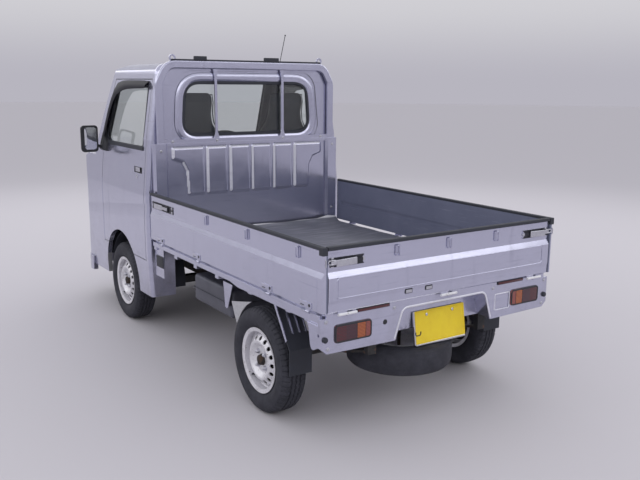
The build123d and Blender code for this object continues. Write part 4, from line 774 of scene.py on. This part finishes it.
# Dashboard and steering wheel: grained black mouldings with vents, an instrument hood and a parcel shelf
refinish(["dashboard", "steering_wheel"], [black_moulding])
refinish(["cab_floor"], [rubber])
shape = bmesh.new()
slab(shape, (-0.46, -1.330, 1.060), (-0.20, -1.215, 1.098), 0.014, 3)
for x in (-0.60, -0.13, 0.13, 0.60):
    for k in range(4):
        slab(shape, (x - 0.04, -1.216, 1.008 + k * 0.011), (x + 0.04, -1.203, 1.012 + k * 0.011), 0.0008)
slab(shape, (0.20, -1.212, 0.968), (0.56, -1.203, 0.998), 0.003)
finish(shape, "dashboard_fittings", trim_board, "chassis")

# Wheels: discs and rims of 4 mm steel, pressed, welded and sprayed silver-grey, with punched vents. Cast hub,
# four plated nuts on a 100 mm circle, a rubber tyre valve and a cast brake drum that darkens the vents.
wheel_paint, tree, shader, spot = new_material("wheel_enamel_stoved")
brake_dust, wheel_tone = clouded(tree, spot, (26, 8, 0.7), "#dfdee3", "#aaa7ab", (0.5, 0.85))
wheel_rust = clouded(tree, spot, (90, 4), wheel_tone, "#5c4536", (0.66, 0.72))[1]
wheel_rolled = add(tree, "Bevel", {"Radius": 0.0015}, samples=4)
wheel_bump = add(tree, "Bump", {"Height": brake_dust, "Strength": 0.2, "Distance": 0.0006,
                                "Normal": wheel_rolled})
plug(tree, shader, {"Base Color": wheel_rust, "Metallic": 0.45, "Roughness": 0.42, "Normal": wheel_bump})

# Bare castings: iron skinned dark brown-black by oil and light rust
casting, tree, shader, spot = new_material("cast_iron_rusted")
rust, iron = clouded(tree, spot, (45, 8, 0.7), "#2e2d30", "#54402f", (0.45, 0.7))
surface(tree, shader, iron, 0.75, (rust, 0.5, 0.0012), {"Metallic": 0.3})

front_track_half = 0.6525
rear_track_half = 0.650
front_axle_y = -0.8155
rear_axle_y = 1.0845
axle_z = 0.271
nut_circle_radius = 0.05
hub_radius = 0.0305
wheel_places = [("front_left", front_track_half, front_axle_y),
                ("front_right", -front_track_half, front_axle_y),
                ("rear_left", rear_track_half, rear_axle_y), ("rear_right", -rear_track_half, rear_axle_y)]
for word, wheel_x, wheel_y in wheel_places:
    side = 1 if wheel_x > 0 else -1

    def wheel_finish(middle, normal, wheel_y=wheel_y):
        """Enamel on the wheel, bare iron on its hub."""
        return int(math.hypot(middle.y - wheel_y, middle.z - axle_z) < hub_radius)

    refinish(["wheel_" + word], [wheel_paint, casting], wheel_finish)
    shape = bmesh.new()
    for k in range(4):
        turn = math.tau * (k + 0.5) / 4
        y, z = wheel_y + nut_circle_radius * math.cos(turn), axle_z + nut_circle_radius * math.sin(turn)
        seat = Vector((wheel_x + side * 0.0355, y, z))
        lathe(shape, [(0, 0.0135), (0.003, 0.0135), (0.0035, 0.0115)], seat, (side, 0, 0), 18)
        lathe(shape, [(0.003, 0.0105), (0.014, 0.0105), (0.0155, 0.0085)], seat, (side, 0, 0), 6)
        lathe(shape, [(0.015, 0.0085), (0.018, 0.0075), (0.0205, 0.004)], seat, (side, 0, 0), 14)
    finish(shape, "wheel_nuts_" + word, zinc, f"{word}_wheel", 20)
    shape = bmesh.new()
    lathe(shape, [(0.0455, 0.0265), (0.049, 0.0265), (0.054, 0.024), (0.0565, 0.018), (0.057, 0.004)],
          (wheel_x, wheel_y, axle_z), (side, 0, 0), 28)
    finish(shape, "hub_cap_" + word, casting, f"{word}_wheel")
    shape = bmesh.new()
    stem = Vector((wheel_x + side * 0.0245, wheel_y - 0.095, axle_z - 0.110))
    lathe(shape, [(-0.008, 0.0065), (0.004, 0.0065), (0.006, 0.0045), (0.022, 0.0042), (0.023, 0.0035)], stem,
          (side, 0.22, 0.26), 12)
    finish(shape, "tyre_valve_" + word, rubber, f"{word}_wheel")
    shape = bmesh.new()
    lathe(shape, [(-0.030, 0.118), (-0.004, 0.132), (0.008, 0.133), (0.0225, 0.120), (0.0235, 0.060)],
          (wheel_x, wheel_y, axle_z), (side, 0, 0), 48)
    finish(shape, "brake_drum_" + word, casting, f"{word}_wheel")

# Tyres: 145 R12 light-truck radials, moulded rubber on a steel belt, with three zigzag grooves and shoulder
# blocks. Dusty tread, sidewalls with fine moulded rings and no lettering.
tyre_rubber, tree, shader, spot = new_material("tyre_rubber_moulded")
tyre_tone = clouded(tree, spot, (16, 8, 0.7), "#24252e", "#3d3d47", (0.4, 0.8))[1]
tyre_grain = add(tree, "TexNoise", {"Vector": spot, "Scale": 380, "Detail": 3})
surface(tree, shader, tyre_tone, 0.78, (tyre_grain, 0.35, 0.0007), {"IOR": 1.52})

flank = [(0.0500, 0.1528), (0.0528, 0.1640), (0.0560, 0.1735),
         (0.0630, 0.1840), (0.0692, 0.1985), (0.0722, 0.2140),
         (0.0712, 0.2320), (0.0680, 0.2450), (0.0630, 0.2545), (0.0570, 0.2618), (0.0510, 0.2662)]
pitches = 60


def eased(points, parts):
    """Smooth line through points."""
    line = []
    ends = [points[0]] + points + [points[-1]]
    for a, b, c, d in zip(ends, ends[1:], ends[2:], ends[3:]):
        for k in range(parts):
            t = k / parts
            line.append(tuple(0.5 * (2 * q + (r - p) * t + (2 * p - 5 * q + 4 * r - s) * t * t
                                     + (3 * q - p - 3 * r + s) * t ** 3) for p, q, r, s in zip(a, b, c, d)))
    return line + [points[-1]]


def tread_depth(across, turn):
    """Depth of the tread at a place across the tyre and round it, the turn counted in pitches."""
    zigzag = 0.0032 * (abs((turn % 1) * 4 - 2) - 1)
    if min(abs(across - line - zigzag) for line in (-0.024, 0.0, 0.024)) < 0.0031:
        return 0.0068
    shoulder = 0.036 < abs(across) < 0.0655 and (turn + 0.25) % 1 < 0.24
    return 0.0055 if shoulder else 0.0


flank_line = eased(flank, 3)
sidewall = [(x + (0.0006 if 0.2045 < r < 0.2075 or 0.2245 < r < 0.2260 else 0), r) for x, r in flank_line]
crown = [(0.0485 - k * 0.0485 / 18, 0.2672 + 0.0037 * math.sin(k / 18 * math.pi / 2)) for k in range(19)]
half_section = sidewall + crown
section = half_section + [(-x, r) for x, r in half_section[-2::-1]]
turns = pitches * 5
for word, wheel_x, wheel_y in wheel_places:
    shape = bmesh.new()
    rings = []
    for i in range(turns):
        angle = math.tau * i / turns
        ring = []
        for x, r in section:
            r -= tread_depth(x, i / 5) if r > 0.2500 else 0
            y, z = wheel_y + r * math.cos(angle), axle_z + r * math.sin(angle)
            ring.append(shape.verts.new((wheel_x + x, y, z)))
        rings.append(ring)
    skin(shape, rings + rings[:1], capped=False)
    tyre = finish(shape, "tyre_treaded_" + word, tyre_rubber, f"{word}_wheel", 30)
    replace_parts(tyre, "tyre_" + word)

spare_centre = Vector((0.055, 1.395, 0.314))


def spare_finish(middle, normal):
    """Rubber on the tyre, enamel on the rim and disc, bare iron on the clamp."""
    radius = math.hypot(middle.x - spare_centre.x, middle.y - spare_centre.y)
    if radius > 0.168 or (radius > 0.152 and abs(middle.z - spare_centre.z) < 0.050):
        return 0
    return 2 if radius < 0.046 else 1


refinish(["spare_wheel"], [tyre_rubber, wheel_paint, casting], spare_finish)

# Tail lamps: moulded acrylic lenses in black housings, red at the outer end, then maroon, amber and an
# inboard end made pale by a painted reflection, with long dark-red reflectors beside the hinges. Flutes press
# fine bars into the lenses, lighter on the bars by a painted glint.
lamp_z = 0.562
lamp_x = 0.553
lamp_half_x = 0.1002
lamp_half_z = 0.0412
lens, tree, shader, spot = new_material("lamp_lens_acrylic_painted_glint")
lens_place = add(tree, "SeparateXYZ", {0: spot})
outward = add(tree, "Math", {0: lens_place.outputs["X"]}, operation="ABSOLUTE")
flute = add(tree, "TexWave", {"Vector": spot, "Scale": 62}, bands_direction="X")
rib = add(tree, "TexWave", {"Vector": spot, "Scale": 48}, bands_direction="Z")
bars = add(tree, "Math", {0: flute.outputs["Fac"], 1: rib.outputs["Fac"]}, operation="MULTIPLY")
# Zones of the lens from its outer end inwards: where each begins, its tone between the bars and its painted
# glint on them; the pale inboard zone is a painted reflection
lens_colour = None
for zone_x, between_bars, painted_glint_tone in ((None, "#2e0a16", "#74222e"), (0.592, "#2a0f1e", "#5d2232"),
                                      (0.534, "#7a3018", "#d8803a"), (0.486, "#6e2a28", "#b4685a")):
    barred = add(tree, "Mix", {0: bars, 6: between_bars, 7: painted_glint_tone}, data_type="RGBA")
    if zone_x:
        inboard = add(tree, "Math", {0: outward, 1: zone_x}, operation="LESS_THAN")
        barred = add(tree, "Mix", {0: inboard, 6: lens_colour, 7: barred}, data_type="RGBA")
    lens_colour = barred
surface(tree, shader, lens_colour, 0.14, (bars, 0.25, 0.0012),
        {"IOR": 1.49, "Coat Weight": 0.6, "Coat Roughness": 0.03})
reflector_red, tree, shader, spot = new_material("reflector_acrylic_prismatic")
prism = add(tree, "TexVoronoi", {"Vector": spot, "Scale": 420})
prism_tone = add(tree, "Mix", {0: prism, 6: "#2c0a12", 7: "#5f1b26"}, data_type="RGBA")
surface(tree, shader, prism_tone, 0.18, (prism, 0.4, 0.0008), {"IOR": 1.49, "Coat Weight": 0.5})

shape = bmesh.new()
for side in (1, -1):
    centre = Vector((side * lamp_x, 0, lamp_z))
    edge = rounded(at_y(0, outline_of(lamp_half_x, -lamp_half_z, lamp_half_x, lamp_half_z)), 0.013, 5)
    rings = [[shape.verts.new(centre + Vector((p.x * share, depth, p.z * share))) for p in edge]
             for share, depth in ((1, 1.6505), (1, 1.6755), (0.985, 1.6775),
                                  (0.94, 1.6778), (0.6, 1.6782), (0.2, 1.6785))]
    skin(shape, rings)
tail_lenses = finish(shape, "tail_lamp_lenses", lens, "chassis", 40)
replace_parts(tail_lenses, "tail_lamps")
shape = bmesh.new()
for side in (1, -1):
    rim_x, rim_z = lamp_half_x - 0.003, lamp_half_z - 0.003
    lamp_rim = rounded([Vector((side * lamp_x, 1.6765, lamp_z)) + corner
                        for corner in at_y(0, outline_of(rim_x, -rim_z, rim_x, rim_z))], 0.014, 5)
    sweep(shape, lamp_rim, [(-0.0032, -0.002), (0.0032, -0.002), (0.0032, 0.0025), (0, 0.0035),
                            (-0.0032, 0.0025)], True, (0, 1, 0))
    for x in (0.486, 0.534):
        slab(shape, (side * x - 0.0012, 1.6770, lamp_z - 0.037),
             (side * x + 0.0012, 1.6792, lamp_z + 0.037), 0.0005)
    slab(shape, (side * 0.349, 1.6719, 0.6445), (side * 0.535, 1.6765, 0.6615), 0.002)
slab(shape, (-0.052, 1.6020, 0.5998), (0.052, 1.6325, 0.6188), 0.005, 3)
finish(shape, "lamp_rims_and_housings", black_moulding, "chassis")
shape = bmesh.new()
for side in (1, -1):
    slab(shape, (side * 0.353, 1.6755, 0.6470), (side * 0.531, 1.6796, 0.6590), 0.0015)
finish(shape, "rear_reflectors", reflector_red, "chassis")
shape = bmesh.new()
lathe(shape, [(0, 0.0115), (0.004, 0.0115), (0.006, 0.010), (0.0068, 0.006)],
      (0.371, 1.6684, 0.572), (0, 1, 0), 20)
for x in (-0.19, 0.14):
    hook = at_y(1.640, [(x - 0.016, 0.4735), (x - 0.016, 0.462), (x - 0.009, 0.455),
                        (x + 0.009, 0.455), (x + 0.016, 0.462), (x + 0.016, 0.4735)])
    sweep(shape, hook, circle(0.0028, 8), up=(0, 1, 0))
finish(shape, "tow_plug_and_hooks", black_moulding, "chassis")

# Rear panel beads: the pressed lip of the number-plate pocket and a framed patch to its right, 2 mm proud of
# the sheet and pale with a painted highlight
bead_y = 1.6718
lip = at_y(bead_y, [(-0.313, 0.480), (-0.266, 0.6225), (0.266, 0.6225), (0.313, 0.480)])
shape = bmesh.new()
lip_path = [lip[0]] + bend(lip[0], lip[1], lip[2], 0.030) + bend(lip[1], lip[2], lip[3], 0.030) + [lip[3]]
bead_section = [(-0.0055, -0.0005), (-0.0035, 0.0016), (0, 0.0024), (0.0035, 0.0016), (0.0055, -0.0005)]
sweep(shape, lip_path, bead_section, up=(0, 1, 0))
patch = rounded(at_y(bead_y, [(-0.443, 0.514), (-0.338, 0.514), (-0.338, 0.597), (-0.443, 0.597)]), 0.008)
sweep(shape, patch, [(u * 0.6, v) for u, v in bead_section], True, (0, 1, 0))
finish(shape, "rear_panel_beads", enamel_painted_highlight, "chassis", 60)

# Number plate: blank yellow enamelled aluminium with an embossed border, on a steel bracket, held by two
# bolts and edged left and below by a chromed frame.
plate_paint, tree, shader, spot = new_material("plate_enamel_stoved")
road_film, plate_tone = clouded(tree, spot, (24, 7), "#f6dc2c", "#e6c424")
surface(tree, shader, plate_tone, 0.4, (road_film, 0.2, 0.0005))


def plate_finish(middle, normal):
    """Enamel on the plate's rear face, plated steel elsewhere."""
    return 0 if normal.y > 0.9 and abs(middle.z - 0.477) < 0.083 and middle.y > 1.58 else 1


refinish(["number_plate"], [plate_paint, zinc], plate_finish)
plate_centre = Vector((-0.034, 1.600, 0.477))
plate_turn = Matrix.Rotation(math.radians(8), 4, "X")
plate_out = plate_turn @ Vector((0, 1, 0))


def on_plate(x, z, out=0.0):
    """Place on the tilted plate, counted across, up and out from its middle."""
    return plate_centre + plate_turn @ Vector((x, 0.002 + out, z))


shape = bmesh.new()
border = rounded([on_plate(x, z, 0.0006) for x, z in outline_of(0.157, -0.0745, 0.157, 0.0745)], 0.010)
sweep(shape, border, [(-0.0022, -0.001), (0.0022, -0.001), (0.0012, 0.0008), (-0.0012, 0.0008)],
      True, plate_out)
finish(shape, "plate_border", plate_paint, "chassis")
# Chromed frame strip: bright, slightly pitted
chrome, tree, shader, spot = new_material("chromed_steel_polished")
pits, chrome_tone = clouded(tree, spot, (90, 6), "#d5d5d9", "#b9b9be")
pitted = add(tree, "MapRange", {"Value": pits, "To Min": 0.08, "To Max": 0.3})
plug(tree, shader, {"Base Color": chrome_tone, "Metallic": 1.0, "Roughness": pitted})
shape = bmesh.new()
frame_line = [on_plate(x, z, -0.001) for x, z in
              ((0.167, 0.083), (0.167, -0.078), (0.160, -0.0845), (-0.160, -0.0845))]
frame_section = [(-0.0045, -0.003), (0.0045, -0.003), (0.0045, 0.004),
                 (0.003, 0.005), (-0.003, 0.005), (-0.0045, 0.004)]
sweep(shape, frame_line, frame_section, up=plate_out)
for x in (-0.085, 0.085):
    lathe(shape, [(0, 0.0075), (0.003, 0.0075), (0.0042, 0.0055)], on_plate(x, 0.060), plate_out, 12)
finish(shape, "plate_frame_and_bolts", chrome, "chassis")

# Headlamps: clear polycarbonate lenses that carry on the shape of the nose, over chromed bowls
clear_lens, tree, shader, spot = new_material("headlamp_polycarbonate_moulded")
lens_haze = add(tree, "TexNoise", {"Vector": spot, "Scale": 26, "Detail": 5})
lens_rough = add(tree, "MapRange", {"Value": lens_haze, "To Min": 0.02, "To Max": 0.12})
plug(tree, shader,
     {"Base Color": "#eef2f4", "Transmission Weight": 1.0, "Roughness": lens_rough, "IOR": 1.58})
source = nodes["headlights"].data
shape = bmesh.new()
shape.from_mesh(source)
bmesh.ops.remove_doubles(shape, verts=shape.verts, dist=0.00002)
inner_faces = []
for face in shape.faces:
    middle = face.calc_center_median()
    if face.normal.dot(Vector((middle.x, middle.y - cab_middle.y, 0))) < 0.2:
        inner_faces.append(face)
bmesh.ops.delete(shape, geom=inner_faces, context="FACES")
bmesh.ops.recalc_face_normals(shape, faces=shape.faces)
bmesh.ops.solidify(shape, geom=shape.faces, thickness=0.003)
head_lenses = finish(shape, "headlamp_lenses", clear_lens, "chassis", 30)
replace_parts(head_lenses, "headlights")
shape = bmesh.new()
for side in (1, -1):
    for x, radius, z in ((0.545, 0.062, 0.930), (0.640, 0.040, 0.935)):
        face_y = -1.600 if x < 0.6 else -1.566
        bowl = [(0.000, radius), (0.012, radius * 0.93),
                (0.030, radius * 0.72), (0.045, radius * 0.4), (0.050, 0.004)]
        lathe(shape, bowl, (side * x, face_y, z), (0, 1, 0), 32)
finish(shape, "headlamp_bowls", chrome, "chassis")

# Front bumper: moulded cover in body colour. Rear mudguards: black rubber-faced boards with enamelled ribs
# and stays.
refinish(["front_bumper"], [enamel])
board_side_x = 0.7015
rib_insets = (0.040, 0.078, 0.116)
rib_width = 0.008


def mudguard_finish(middle, normal):
    """Rubber boards and flaps, enamelled ribs and stays."""
    inward = board_side_x - abs(middle.x)
    at_rib = any(inset - 0.0005 < inward < inset + rib_width + 0.0005 for inset in rib_insets)
    on_rib = at_rib and middle.y - rear_axle_y < 0.256 and middle.z > 0.469
    return int(inward < -0.0001 or on_rib)


refinish(["rear_mudguards"], [rubber, enamel], mudguard_finish)

# Side stay and stone guard ahead of the left rear wheel: a pressed steel bar from the bed sill, and a pale
# moulded sheet behind it. Black plugs close the bed's front corner holes.
pale_moulding, tree, shader, spot = new_material("polypropylene_natural_moulded")
cloud_grain, cloudy = clouded(tree, spot, (55, 7, 0.7), "#8e8e94", "#c9c9cd")
surface(tree, shader, cloudy, 0.6, (cloud_grain, 0.3, 0.0006), {"IOR": 1.49})


def sheet_piece(shape, outline, x, thickness):
    """Flat plate across the truck, its outline given as (along, height)."""
    skin(shape, [[shape.verts.new((x + shift, y, z)) for y, z in outline] for shift in (0, thickness)])


shape = bmesh.new()
sheet_piece(shape, [(0.672, 0.592), (0.784, 0.592), (0.728, 0.456), (0.712, 0.447), (0.692, 0.456)],
            0.6915, 0.003)
sheet_piece(shape, [(0.672, 0.592), (0.676, 0.592), (0.696, 0.452), (0.692, 0.452)], 0.6785, 0.016)
finish(shape, "side_stay", enamel, "chassis")
shape = bmesh.new()
for side in (1, -1):
    slab(shape, (side * 0.7052, -0.232, 0.494), (side * 0.7110, -0.124, 0.567), 0.0025)
finish(shape, "corner_hole_plugs", black_moulding, "chassis")
shape = bmesh.new()
guard = [(0.764, 0.500), (0.860, 0.520), (0.982, 0.548), (0.930, 0.518),
         (0.880, 0.474), (0.846, 0.430), (0.820, 0.392), (0.792, 0.440)]
sheet_piece(shape, guard, 0.6870, 0.003)
finish(shape, "stone_guard", pale_moulding, "chassis")

# Chassis: box rails, axle, arms and springs of welded and forged steel, dipped in black paint, dusty and
# bitten by rust
chassis_black, tree, shader, spot = new_material("chassis_paint_dipped")
chassis_tone = clouded(tree, spot, (10, 9, 0.7), "#1e1f24", "#4c4844", (0.4, 0.75))[1]
bite, bitten = clouded(tree, spot, (38, 6), chassis_tone, "#5a3c28", (0.6, 0.72))
surface(tree, shader, bitten, 0.65, (bite, 0.4, 0.001))
refinish(["ladder_frame", "front_suspension", "leaf_springs", "rear_axle", "knuckle_left", "knuckle_right"],
         [chassis_black])
refinish(["drivetrain"], [casting])

# Fuel tank: two lead-coated steel halves seam-welded at the flange, dull grey with road film
tank_steel, tree, shader, spot = new_material("terne_steel_pressed")
tank_film, tank_tone = clouded(tree, spot, (8, 8, 0.65), "#44454e", "#6c6d77")
surface(tree, shader, tank_tone, 0.5, (tank_film, 0.3, 0.001), {"Metallic": 0.5})
refinish(["fuel_tank"], [tank_steel])

# Exhaust: aluminised steel tube and rolled silencer, blued and browned by heat
aluminised, tree, shader, spot = new_material("aluminised_steel_rolled")
scorch, pipe_tone = clouded(tree, spot, (12, 7), "#84817e", "#5b4436", (0.4, 0.7))
surface(tree, shader, pipe_tone, 0.55, (scorch, 0.3, 0.001), {"Metallic": 0.6})
refinish(["exhaust"], [aluminised])

# Studio: pale seamless floor, a bright horizon and a ring of eight softboxes high round the truck
floor_paint, tree, shader, spot = new_material("studio_floor_matt")
plug(tree, shader, {"Base Color": "#c8c5ca", "Roughness": 0.85})
shape = bmesh.new()
bmesh.ops.create_circle(shape, cap_ends=True, segments=96, radius=60)
floor_mesh = bpy.data.meshes.new("studio_floor")
shape.to_mesh(floor_mesh)
shape.free()
floor_mesh.materials.append(floor_paint)
studio_floor = bpy.data.objects.new("studio_floor", floor_mesh)
bpy.context.scene.collection.objects.link(studio_floor)

world = bpy.data.worlds.new("studio_sky")
bpy.context.scene.world = world
world.use_nodes = True
tree = world.node_tree
sky_place = add(tree, "TexCoord")
sky_way = add(tree, "SeparateXYZ", {0: sky_place.outputs["Generated"]})
sky_foot = add(tree, "MapRange", {"Value": sky_way.outputs["Z"], "From Min": 0.0, "From Max": 0.11},
               interpolation_type="SMOOTHSTEP")
sky_rise = add(tree, "Mix", {0: sky_foot, 6: "#b7b5bf", 7: "#d0cfd4"}, data_type="RGBA")
sky_height = add(tree, "MapRange", {"Value": sky_way.outputs["Z"], "From Min": 0.2, "From Max": 0.6})
sky_tone = add(tree, "Mix", {0: sky_height, 6: sky_rise, 7: "#e4e4ea"}, data_type="RGBA")
plug(tree, tree.nodes["Background"], {"Color": sky_tone, "Strength": 1.0})
lit_middle = Vector((0, 0.3, 0.8))
softbox_height = 4.1
for around in range(8):
    softbox = bpy.data.lights.new(f"softbox_{around}", "AREA")
    softbox.shape = "RECTANGLE"
    softbox.size = 5.2
    softbox.size_y = 2.4
    softbox.energy = 46
    hung = bpy.data.objects.new(f"softbox_{around}", softbox)
    turn = around * math.tau / 8
    hung.location = (7 * math.sin(turn), lit_middle.y + 7.6 * math.cos(turn), softbox_height)
    aim = lit_middle - hung.location
    hung.rotation_euler = aim.to_track_quat("-Z", "Y").to_euler()
    hung.visible_camera = False
    bpy.context.scene.collection.objects.link(hung)

# Camera: standing height behind the left rear corner, looking forwards and a little down
camera_data = bpy.data.cameras.new("camera")
camera_data.sensor_width = 36
camera_data.lens = 43.42
camera_data.clip_end = 200
camera = bpy.data.objects.new("camera", camera_data)
turn, dip, roll = math.radians(146.21), math.radians(-11.52), math.radians(0.43)
ahead = Vector((-math.sin(turn) * math.cos(dip), math.cos(turn) * math.cos(dip), math.sin(dip)))
level = ahead.cross(Vector((0, 0, 1))).normalized()
upright = level.cross(ahead)
right = level * math.cos(roll) + upright * math.sin(roll)
above = upright * math.cos(roll) - level * math.sin(roll)
camera_place = Matrix.Translation((2.507, 4.322, 1.644))
camera.matrix_world = camera_place @ Matrix((right, above, -ahead)).transposed().to_4x4()
bpy.context.scene.collection.objects.link(camera)
bpy.context.scene.camera = camera
bpy.context.scene.view_settings.view_transform = "Standard"
